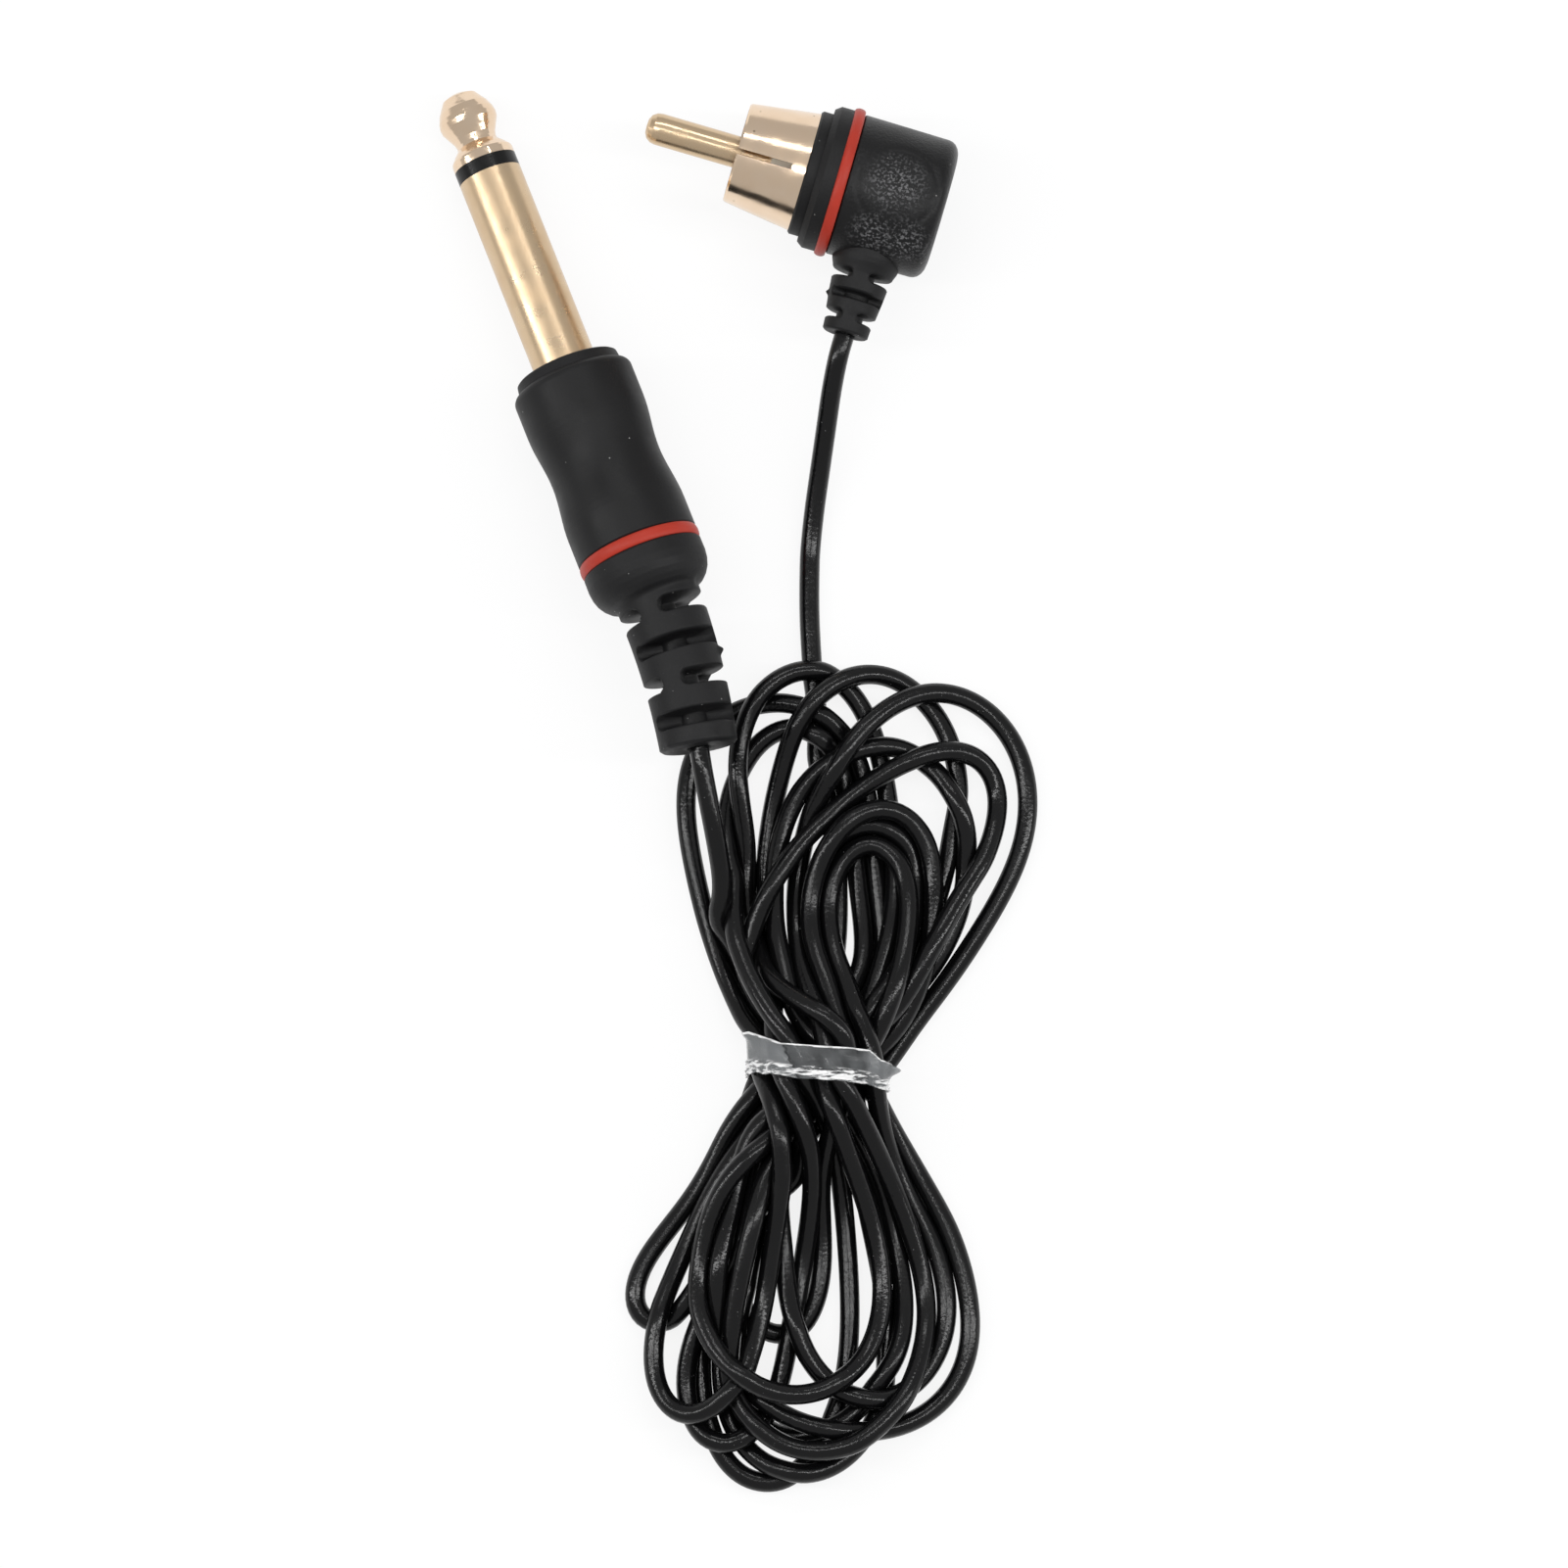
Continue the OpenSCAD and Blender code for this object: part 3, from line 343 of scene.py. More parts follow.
def grained(tree, place, size_mm, depth_mm, detail, strength=1, sharpness=0.5, under=None):
    """The normal of a grain with a real width and depth, over another normal or none."""
    grain = add_node(tree, "ShaderNodeTexNoise",
                     {"Vector": place, "Scale": 1 / (size_mm * MM), "Detail": detail,
                      "Roughness": sharpness})
    relief = {"Height": grain, "Strength": strength, "Distance": depth_mm * MM}
    if under is not None:
        relief["Normal"] = under
    return add_node(tree, "ShaderNodeBump", relief)


def specks(tree, place, size_mm, share, seed=0.0):
    """Sparse specks, such as dust: 1 on a speck and 0 elsewhere. share is roughly how much of
    the surface they take."""
    shifted = add_node(tree, "ShaderNodeMapping",
                       {"Vector": place, "Location": (seed, seed, seed)})
    cells = add_node(tree, "ShaderNodeTexVoronoi",
                     {"Vector": shifted, "Scale": 1 / (size_mm * 3 * MM)}).node
    near = add_node(tree, "ShaderNodeMapRange",
                    {"Value": cells.outputs["Distance"], "From Min": 0.16, "From Max": 0.1})
    chosen = add_node(tree, "ShaderNodeSeparateColor", {"Color": cells.outputs["Color"]})
    rare = add_node(tree, "ShaderNodeMapRange",
                    {"Value": chosen, "From Min": 1 - share, "From Max": 1 - share + 0.01})
    return add_node(tree, "ShaderNodeMath", {0: near, 1: rare}, operation="MULTIPLY")


def speckled(tree, place, skin, hex_colour, size_mm, share, seed=0.0):
    """A colour with specks of another on it."""
    pattern = specks(tree, place, size_mm, share, seed)
    return add_node(tree, "ShaderNodeMix", {0: pattern, 6: skin, 7: rgba(linear(hex_colour))},
                    output=2, data_type="RGBA")


def gold_plate(name, base, roughness, wave_mm, wave_depth_mm, pit_share):
    """Gold flash on nickel over turned brass: pale champagne, with a little handling haze, a fine
    grain and dark pits where the plating has worn through."""
    material, tree, shader, place = new_material(name, Metallic=1.0)
    plate, haze = clouded(tree, place, 2.2, 4, 0.35, (rgba(base), rgba(base, (0.94, 0.88, 0.8))),
                          (roughness - 0.04, roughness + 0.06))
    pitted = speckled(tree, place, plate, "#6E5638", 0.22, pit_share, 0.3)
    waves = grained(tree, place, wave_mm, wave_depth_mm, 1)
    marks = grained(tree, place, 0.2, 0.003, 3, strength=0.6, under=waves)
    finish(tree, shader, pitted, haze, marks)
    return material


def painted_glints(tree, place, grain_mm):
    """Painted glints of the lamps: the tips of the mould's grain painted pale, in patches."""
    glint_patches = 0.0
    for spot, inner, outer in GLINT_SPOTS:
        off = add_node(tree, "ShaderNodeVectorMath", {0: place, 1: Vector(spot) * MM},
                       output="Value", operation="DISTANCE")
        near = add_node(tree, "ShaderNodeMapRange",
                        {"Value": off, "From Min": outer * MM, "From Max": inner * MM})
        glint_patches = add_node(tree, "ShaderNodeMath", {0: near, 1: glint_patches}, operation="MAXIMUM")
    grain = add_node(tree, "ShaderNodeTexNoise",
                     {"Vector": place, "Scale": 1 / (grain_mm * MM), "Detail": 2,
                      "Roughness": 0.6})
    # The grain's tips inside the patches get the painted glint
    glint_specks = add_node(tree, "ShaderNodeMapRange",
                    {"Value": grain, "From Min": 0.5, "From Max": 0.66, "To Max": 0.55})
    return add_node(tree, "ShaderNodeMath", {0: glint_patches, 1: glint_specks}, operation="MULTIPLY")


def moulded(name, base, roughness, grain_mm, grain_depth_mm, dust_share, glint_patches=False):
    """Moulded plastic or rubber: an even colour with faint clouds, a fine eroded grain from the
    mould, a few pale specks of dust and, where asked for, patches of painted glints on the grain's
    tips."""
    material, tree, shader, place = new_material(name, IOR=1.33)
    skin, satin = clouded(tree, place, 3.0, 3, 0.3, (rgba(base, 0.82), rgba(base, 1.2)),
                          (roughness - 0.05, roughness + 0.06))
    skin = speckled(tree, place, skin, "#9A9A98", 0.16, dust_share)
    if glint_patches:
        glint_specks = painted_glints(tree, place, grain_mm)
        # Painted glints: the lit grain tips in light grey #8E8E90
        skin = add_node(tree, "ShaderNodeMix", {0: glint_specks, 6: skin, 7: rgba(linear("#8E8E90"))},
                        output=2, data_type="RGBA")
    texture = grained(tree, place, grain_mm, grain_depth_mm, 3, sharpness=0.6)
    finish(tree, shader, skin, satin, texture)
    return material


def soft_touch(colours):
    """Soft-touch elastomer: satin black with a skin that is almost smooth."""
    return moulded("soft_touch_elastomer", colours.grip, roughness=0.46, grain_mm=0.22,
                   grain_depth_mm=0.012, dust_share=0.02)


def sparked_body(colours):
    """Moulded vinyl from a spark-eroded mould. The lamps' glints on the tips of its grain are
    painted pale round the dish and towards the cord. The grain is drawn 0.28 mm wide, three times
    the real one, so that it shows."""
    return moulded("spark_grained_vinyl", colours.grip, roughness=0.36, grain_mm=0.28,
                   grain_depth_mm=0.06, dust_share=0.03, glint_patches=True)


def matt_vinyl(colours):
    """Flexible vinyl as it leaves the mould: matt, slightly dusty, dark grey rather than black."""
    return moulded("matt_moulded_vinyl", colours.boot, roughness=0.52, grain_mm=0.3,
                   grain_depth_mm=0.03, dust_share=0.05)


def red_vinyl(colours):
    """Brick-red vinyl of the coloured rings, satin."""
    return moulded("brick_red_vinyl", colours.ring, roughness=0.42, grain_mm=0.3,
                   grain_depth_mm=0.01, dust_share=0.01)


def gloss_nylon():
    """Glossy black nylon of the band between the quarter-inch plug's tip and sleeve."""
    return moulded("gloss_nylon_band", linear("#101010"), roughness=0.25, grain_mm=0.3,
                   grain_depth_mm=0.005, dust_share=0.01)


def cord_vinyl(colours):
    """Extruded glossy vinyl jacket: near black with sharp thin reflections, broken up by the
    stipple of the screen's strands under the jacket, which is drawn 0.35 mm wide so that it
    shows."""
    material, tree, shader, place = new_material("extruded_gloss_vinyl", IOR=1.36)
    jacket = speckled(tree, place, rgba(colours.cord), "#6C6C6C", 0.12, 0.04)
    wear = add_node(tree, "ShaderNodeTexNoise",
                    {"Vector": place, "Scale": 1 / (4.0 * MM), "Detail": 4})
    gloss = add_node(tree, "ShaderNodeMapRange",
                     {"Value": wear, "From Min": 0.3, "From Max": 0.7, "To Min": 0.12,
                      "To Max": 0.24})
    stipple = grained(tree, place, 0.35, 0.03, 2, strength=0.8)
    pimples = add_node(tree, "ShaderNodeBump",
                       {"Height": specks(tree, place, 0.3, 0.12, 0.5), "Strength": 0.8,
                        "Distance": 0.03 * MM, "Normal": stipple})
    finish(tree, shader, jacket, gloss, pimples)
    return material


def clear_tape(colours):
    """Clear polypropylene tape: a grey see-through film where it is smooth, bright white streaks
    with dark gaps where it is bunched up. The band carries how hazy and how folded it is, and where
    its cut edge is painted white as a highlight."""
    material, tree, shader, place = new_material("clear_polypropylene_tape", IOR=1.49)
    haze = add_node(tree, "ShaderNodeAttribute", output="Fac", attribute_name="haze")
    fold_and_edge_highlight = add_node(tree, "ShaderNodeAttribute", output="Fac", attribute_name="fold_and_edge_highlight")
    along = add_node(tree, "ShaderNodeMapping", {"Vector": place, "Scale": (0.2, 1, 0.3)})
    streaks = add_node(tree, "ShaderNodeTexNoise",
                       {"Vector": along, "Scale": 1 / (0.36 * MM), "Detail": 3,
                        "Roughness": 0.6})
    sharp = add_node(tree, "ShaderNodeMapRange",
                     {"Value": streaks, "From Min": 0.44, "From Max": 0.56})
    bunched = add_node(tree, "ShaderNodeMath", {0: fold_and_edge_highlight, 1: sharp}, operation="MULTIPLY")
    # The cut edge's line is painted white: a painted highlight
    edge = add_node(tree, "ShaderNodeMath", {0: fold_and_edge_highlight, 1: 1.2}, operation="SUBTRACT")
    bright = add_node(tree, "ShaderNodeMath", {0: bunched, 1: edge}, operation="MAXIMUM")
    film = add_node(tree, "ShaderNodeMapRange", {"Value": haze, "To Min": 0.05, "To Max": 0.42})
    solid = add_node(tree, "ShaderNodeMapRange", {"Value": bright, "To Max": 0.8})
    dense = add_node(tree, "ShaderNodeMath", {0: film, 1: solid}, operation="MAXIMUM")
    tree.links.new(dense, shader.inputs["Alpha"])
    white = add_node(tree, "ShaderNodeMix",
                     {0: bright, 6: rgba(colours.tape), 7: rgba(linear("#FFFFFF"))},
                     output=2, data_type="RGBA")
    gloss = add_node(tree, "ShaderNodeMapRange",
                     {"Value": bright, "To Min": 0.2, "To Max": 0.08})
    creases = add_node(tree, "ShaderNodeBump",
                       {"Height": streaks, "Strength": 0.5, "Distance": 0.1 * MM})
    finish(tree, shader, white, gloss, creases)
    return material


def plain_grained(name, hex_colour, roughness, metallic, grain_mm, depth_mm):
    """A small inner part's finish: an even colour with clouds and a fine grain."""
    material, tree, shader, place = new_material(name, Metallic=metallic)
    base = linear(hex_colour)
    skin, satin = clouded(tree, place, 1.5, 3, 0.3, (rgba(base, 0.85), rgba(base, 1.1)),
                          (roughness - 0.06, roughness + 0.06))
    finish(tree, shader, skin, satin, grained(tree, place, grain_mm, depth_mm, 2))
    return material


def pale_floor(colours):
    """The pale surface: even white to the camera and in reflections, with the cable's shadow."""
    material, tree, shader, place = new_material("pale_floor", Roughness=0.9)
    cloud = add_node(tree, "ShaderNodeTexNoise",
                     {"Vector": place, "Scale": 1 / (60 * MM), "Detail": 2})
    paint = add_node(tree, "ShaderNodeMix",
                     {0: cloud, 6: rgba(colours.floor, 0.99), 7: rgba(colours.floor)},
                     output=2, data_type="RGBA")
    tree.links.new(paint, shader.inputs["Base Color"])
    rays = add_node(tree, "ShaderNodeLightPath").node.outputs
    mirrored = add_node(tree, "ShaderNodeMath",
                        {0: rays["Is Camera Ray"], 1: rays["Is Glossy Ray"]}, operation="MAXIMUM")
    seen = add_node(tree, "ShaderNodeMath", {0: mirrored, 1: rays["Is Transmission Ray"]},
                    operation="MAXIMUM")
    share = add_node(tree, "ShaderNodeMapRange", {"Value": seen, "To Max": 0.86})
    white = add_node(tree, "ShaderNodeEmission", {"Color": (1, 1, 1, 1), "Strength": 1.0})
    both = add_node(tree, "ShaderNodeMixShader",
                    {"Fac": share, 1: shader.outputs["BSDF"], 2: white})
    output = next(node for node in tree.nodes if node.type == "OUTPUT_MATERIAL")
    tree.links.new(both, output.inputs["Surface"])
    return material


def dress(material, *nodes):
    """Gives CAD nodes a material."""
    for name in nodes:
        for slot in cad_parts[name].material_slots:
            slot.material = material


# The cord's line

def knots():
    """The whole route's points in millimetres, and how high each lies among the others."""
    points, ranks = [], []

    def add(point, rank):
        points.append((*point, 0)[:3])
        ranks.append(rank)

    def add_loop(rank, loop):
        for x, y in loop:
            add((x, WAIST_Y + LOOP_STRETCH * (y - WAIST_Y)), rank)

    def across(runs, name, side):
        place = runs.index(name)
        x = WAIST_X[0] + (WAIST_X[1] - WAIST_X[0]) * place / (len(runs) - 1)
        add((x, WAIST_Y), 100 * side + place % 2)

    for point in PHONO_LEAD:
        add(point, -5)
    across(BACK_RUNS, "lead", -1)
    for lower, upper in zip(LOWER_ORDER, UPPER_ORDER + [None]):
        add_loop(*LOWER_LOOPS[lower])
        across(FRONT_RUNS, lower, 1)
        if upper:
            add_loop(*UPPER_LOOPS[upper])
            across(BACK_RUNS, upper, -1)
    for point in JACK_LEAD:
        add(point, 6)
    return np.array(points, float), np.array(ranks, float)


def smooth_line(points, ranks, step):
    """A centripetal Catmull-Rom curve through the points, in even steps, with their ranks."""
    p = np.vstack([2 * points[0] - points[1], points, 2 * points[-1] - points[-2]])
    spans = np.linalg.norm(np.diff(p, axis=0), axis=1)
    t = np.concatenate([[0], np.cumsum(spans ** 0.5)])
    parts = max(4, int(4 * spans.max() / step))
    curve, rank = [], []
    for i in range(1, len(p) - 2):
        u = np.linspace(t[i], t[i + 1], parts, endpoint=False)[:, None]

        def mix(a, b, ta, tb):
            return ((tb - u) * a + (u - ta) * b) / (tb - ta)

        a, b, c = (mix(p[k], p[k + 1], t[k], t[k + 1]) for k in (i - 1, i, i + 1))
        d, e = mix(a, b, t[i - 1], t[i + 1]), mix(b, c, t[i], t[i + 2])
        curve.append(mix(d, e, t[i], t[i + 1]))
        rank.append(mix(ranks[i - 1], ranks[i], t[i], t[i + 1])[:, 0])
    curve = np.vstack(curve + [points[-1:]])
    rank = np.concatenate(rank + [ranks[-1:]])
    run = np.concatenate([[0], np.cumsum(np.linalg.norm(np.diff(curve, axis=0), axis=1))])
    even = np.linspace(0, run[-1], int(round(run[-1] / step)) + 1)
    line = np.column_stack([np.interp(even, run, curve[:, k]) for k in range(3)])
    return line, np.interp(even, run, rank)


def out_of_bend(line, reach):
    """How far each point leaves the even bend of its neighbours, reach steps apart."""
    pad = ((2 * reach, 2 * reach),) + ((0, 0),) * (line.ndim - 1)
    p = np.pad(line, pad, mode="reflect", reflect_type="odd")
    a, b, c, d, e = (p[k * reach:k * reach + len(line)] for k in range(5))
    return a - 4 * b + 6 * c - 4 * d + e


def pile_up(line, rank, held, cord_d):
    """Raises the crossing runs over each other in the order of their rank."""
    n = len(line)
    first, second = np.triu_indices(n, 4)
    apart = np.linalg.norm(line[first, :2] - line[second, :2], axis=1)
    near = apart < cord_d
    first, second, apart = first[near], second[near], apart[near]
    gap = np.sqrt(cord_d ** 2 - apart ** 2)
    over = rank[first] > rank[second]
    upper, lower = np.where(over, first, second), np.where(over, second, first)
    top = MOST_LAYERS * cord_d
    z = np.where(held, line[:, 2], cord_d / 2)
    for _ in range(PILE_ROUNDS):
        z = z - PILE_STIFFNESS * out_of_bend(z, 1) - SINK
        z = np.where(held, line[:, 2], np.clip(z, cord_d / 2, top))
        for _ in range(3):
            short = np.clip(z[lower] + gap - z[upper], 0, cord_d / 4) / 2
            up, down = np.zeros(n), np.zeros(n)
            np.maximum.at(up, upper, short)
            np.maximum.at(down, lower, short)
            z = np.where(held, line[:, 2], np.clip(z + up - down, cord_d / 2, top))
    return np.column_stack([line[:, :2], z])


def neighbours(line, cord_d):
    """Pairs of points, from different turns of the cord, that lie close to each other."""
    flat = line[:, :2]
    near = ((flat[:, None] - flat[None]) ** 2).sum(2) < (1.6 * cord_d) ** 2
    return np.array(np.nonzero(np.triu(near, 4)))


def pushed_apart(line, near, cord_d, share):
    """The line with the pairs that overlap moved apart, and none of it below the surface."""
    first, second = near
    away = line[first] - line[second]
    far = np.linalg.norm(away, axis=1) + 1e-9
    hit = far < cord_d
    push = (0.5 * (cord_d - far[hit]) / far[hit])[:, None] * away[hit]
    move, hits = np.zeros_like(line), np.zeros(len(line))
    for ends, way in ((first[hit], 1), (second[hit], -1)):
        np.add.at(move, ends, way * push)
        np.add.at(hits, ends, 1)
    line = line + share * move / np.maximum(hits, 1)[:, None]
    line[:, 2] = np.maximum(line[:, 2], cord_d / 2)
    return line


def settle(line, held, cord_d, step, rounds):
    """Lets the cord sink and straighten, and pushes it out of itself."""
    home, n = line.copy(), len(line)
    rest = np.linalg.norm(np.diff(line, axis=0), axis=1).clip(0.95 * step, 1.05 * step)[:, None]
    tied = np.abs(line[:, 1] - WAIST_Y) < TIED_REACH
    for turn in range(rounds):
        if turn % 8 == 0:
            near = neighbours(line, cord_d)
        line[:, 2] -= SINK
        for reach in (1, 2, 3):
            line -= STIFFNESS * out_of_bend(line, reach)
        line[:, :2] += HOMING * (home[:, :2] - line[:, :2])
        for _ in range(3):
            line = pushed_apart(line, near, cord_d, share=1.3)
            line[tied, 0] = line[tied, 0].clip(*WAIST_X)
            line[held] = home[held]
        for odd in (0, 1):
            a = np.arange(odd, n - 1, 2)
            stretch = line[a + 1] - line[a]
            size = np.linalg.norm(stretch, axis=1)[:, None]
            pull = TAUTNESS * (size - rest[a]) / size * stretch
            line[a] += pull
            line[a + 1] -= pull
        line[held] = home[held]
    return line


def eased(line, held, cord_d, passes):
    """The line with its last small kinks and overlaps taken out."""
    home = line.copy()
    for turn in range(passes):
        if turn % 4 == 0:
            near = neighbours(line, cord_d)
        p = np.pad(line, ((1, 1), (0, 0)), mode="reflect", reflect_type="odd")
        line = 0.25 * p[:-2] + 0.5 * line + 0.25 * p[2:]
        line = pushed_apart(line, near, cord_d, share=0.9)
        line[held] = home[held]
    return line


def cord_line(sizes):
    """The cord's centre line, in millimetres, from the phono plug to the quarter-inch plug."""
    cord_d, step = sizes.cord_d / MM, sizes.cord_step / MM
    points, ranks = knots()
    line, rank = smooth_line(points, ranks, step)
    place = np.arange(len(line))
    held = (place < HELD_AT_PHONO / step) | (place > len(line) - HELD_AT_JACK / step)
    piled = pile_up(line, rank + 1e-4 * place / len(line), held, cord_d)
    laid = settle(piled.copy(), held, cord_d, step, sizes.settle_rounds)
    laid = eased(laid, held, cord_d, passes=16)
    # The last stretch comes down from the strain relief as drawn, and is eased off the loops
    free = (len(line) - HELD_AT_JACK / step - place) / (BLENDED_AT_JACK / step)
    free = free.clip(0, 1)[:, None]
    laid = line + (laid - line) * free * free * (3 - 2 * free)
    kept = held | (place < len(line) - EASED_AT_JACK / step)
    laid = eased(laid, kept, cord_d, passes=12)
    return smooth_line(laid, np.zeros(len(laid)), step / 2)[0]


def add_piece(name, data, material):
    """Puts a finished piece into the scene, on the one body, with its finish."""
    piece = bpy.data.objects.new(name, data)
    bpy.context.scene.collection.objects.link(piece)
    data.materials.append(material)
    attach(piece, "root")
    return piece


def mesh_from(bm, name, smooth=True):
    """A mesh from a bmesh, which is freed."""
    bmesh.ops.recalc_face_normals(bm, faces=bm.faces)
    mesh = bpy.data.meshes.new(name)
    bm.to_mesh(mesh)
    bm.free()
    for face in mesh.polygons:
        face.use_smooth = smooth
    return mesh


# The round mouldings

def bump(value, at, width):
    """1 at a place, falling off to 0 on both sides of it."""
    return math.exp(-((value - at) / width) ** 2)


def slot_depth(place, along, radius, slots, half_width):
    """How deep a point of the surface lies in one of the slots, from 0 to 1."""
    deepest = 0.0
    for middle, centre, half_angle in slots:
        turn = abs((place - centre + math.pi) % (2 * math.pi) - math.pi)
        past = max(0.0, (turn - half_angle) * radius + half_width)
        near = (half_width - math.hypot(past, along - middle)) / SLOT_EDGE + 0.5
        deepest = max(deepest, min(1.0, max(0.0, near)))
    return deepest * deepest * (3 - 2 * deepest)


def turned(profile, steps, fine_from, axis, reshape):
    """A solid of revolution on an axis, from a closed profile of (distance, radius) in
    millimetres, meshed finely outside the radius fine_from. reshape changes the radius at an
    angle and a distance, and axis gives the place, the front and the side at a distance."""
    bm = bmesh.new()
    stations = []
    for (s1, r1), (s2, r2) in zip(profile, profile[1:] + profile[:1]):
        step = FINE_STEP if min(r1, r2) >= fine_from else COARSE_STEP
        parts = max(1, math.ceil(math.hypot(s2 - s1, r2 - r1) / step))
        stations += [bm.verts.new((r1 + (r2 - r1) * k / parts, 0, s1 + (s2 - s1) * k / parts))
                     for k in range(parts)]
    outline = [bm.edges.new(pair) for pair in zip(stations, stations[1:] + stations[:1])
               if max(pair[0].co.x, pair[1].co.x) > 0]
    bmesh.ops.spin(bm, geom=stations + outline, cent=(0, 0, 0), axis=(0, 0, 1),
                   angle=2 * math.pi, steps=steps, use_merge=True)
    bmesh.ops.remove_doubles(bm, verts=bm.verts, dist=1e-4)
    for vert in bm.verts:
        along, radius = vert.co.z, math.hypot(vert.co.x, vert.co.y)
        place = math.atan2(vert.co.y, vert.co.x)
        radius = reshape(place, along, radius)
        middle, front, side = axis(along)
        vert.co = (middle + radius * (math.cos(place) * front + math.sin(place) * side)) * MM
    return bm


def slotted_sleeve(name, profile, slots, slot_half, lumps, axis, material):
    """A round moulding on an axis, with pairs of slots down to its core and small flaws."""
    half_angle, half_width = slot_half
    pairs = [(middle, math.radians(angle + half_turn), math.radians(half_angle))
             for middle, angle in slots for half_turn in (0, 180)]

    def cut(place, along, radius):
        if radius <= SLOT_CORE_R:
            return radius
        radius -= (radius - SLOT_CORE_R) * slot_depth(place, along, radius, pairs, half_width)
        for at, angle, height, size in lumps:
            off = math.hypot((place - math.radians(angle)) * radius, along - at)
            radius += height * bump(off, 0, size)
        return radius

    bm = turned(profile, SLEEVE_FACES, SLOT_CORE_R, axis, cut)
    return add_piece(name, mesh_from(bm, name), material)


def bent_axis(start, way, end_way, bend_l):
    """An axis that turns evenly from one way to another over a length, and is straight before
    and after it. It gives the place, the front, which faces up, and the side."""
    way, end_way = Vector(way).normalized(), Vector(end_way).normalized()
    angle = way.angle(end_way)
    inward = (end_way - end_way.dot(way) * way).normalized() if angle > 1e-4 else Vector((0, 0, 0))

    def axis(s):
        share = min(1.0, max(0.0, s / bend_l))
        turn = angle * share
        heading = math.cos(turn) * way + math.sin(turn) * inward
        place = Vector(start) + min(s, 0) * way
        if angle > 1e-4:
            r = bend_l / angle
            place += r * (math.sin(turn) * way + (1 - math.cos(turn)) * inward)
        else:
            place += bend_l * share * way
        place += max(0.0, s - bend_l) * heading
        front = (Vector((0, 0, 1)) - heading.z * heading).normalized()
        return place, front, front.cross(heading)

    return axis


# Operators: the camera, each piece or group of pieces, and the stage

class CABLE_OT_camera(bpy.types.Operator):
    """Looks down on the cable from a little in front of it"""
    bl_idname = "cable.camera"
    bl_label = "Camera"

    def execute(self, context):
        studio = context.scene.cable_studio
        middle = Vector(LOOK_AT) * MM
        up = studio.elevation
        camera = bpy.data.objects.new("camera", bpy.data.cameras.new("camera"))
        context.scene.collection.objects.link(camera)
        camera.data.lens = studio.lens
        camera.data.sensor_width = 36
        camera.data.clip_start, camera.data.clip_end = 0.01, 20
        camera.location = middle + studio.distance * Vector((0, -math.cos(up), math.sin(up)))
        camera.rotation_euler = (math.pi / 2 - up, 0, 0)
        context.scene.camera = camera
        return {"FINISHED"}


class CABLE_OT_cord(bpy.types.Operator):
    """Lays the whole cord as one curve, from plug to plug through the hank"""
    bl_idname = "cable.cord"
    bl_label = "Cord"

    def execute(self, context):
        sizes = context.scene.cable_sizes
        line = cord_line(sizes)
        curve = bpy.data.curves.new("cord", "CURVE")
        curve.dimensions = "3D"
        curve.bevel_depth = sizes.cord_d / 2
        curve.bevel_resolution = 4
        spline = curve.splines.new("POLY")
        spline.points.add(len(line) - 1)
        spline.points.foreach_set("co", np.column_stack([line * MM, np.ones(len(line))]).ravel())
        cord = add_piece("cord", curve, cord_vinyl(context.scene.cable_colours))
        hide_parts("jack_lead", "hank", "phono_lead")
        return {"FINISHED"}


def waist_outline(line, y, radius):
    """The taut outline, in x and z, of the cord's runs at one place along the waist."""
    runs = line[np.abs(line[:, 1] - y) < 0.6]
    ring = [(math.cos(a), math.sin(a)) for a in np.linspace(0, 2 * math.pi, 24, endpoint=False)]
    around = [(x + radius * c, z + radius * s) for x, _, z in runs for c, s in ring]
    return [Vector(around[k]) for k in geometry.convex_hull_2d(around)]


def reach_to(outline, middle, way):
    """Distance from the middle to the outline that way."""
    far = middle + 100 * way
    for a, b in zip(outline, outline[1:] + outline[:1]):
        hit = geometry.intersect_line_line_2d(middle, far, a, b)
        if hit:
            return (hit - middle).length
    raise RuntimeError("the waist's outline is open")


def film_haze(x, share, flare):
    """How hazy the film is at a place across the hank: clear in the crease, most at the sides."""
    crease = x - (CREASE_X + 1.6 * (1 - share) + 0.25 * noise.noise(Vector((0, share * 9, 5))))
    cloud = 0.5 + noise.noise(Vector((x * 0.8, share * 2, 1)))
    haze = max(1.0 if crease < 0 else 0.12 + 0.34 * cloud,
               0.95 * min(1.0, max(0.0, x - HAZY_FROM_X)), flare)
    return haze * (1 - 0.9 * bump(crease, 0.1, 0.14))


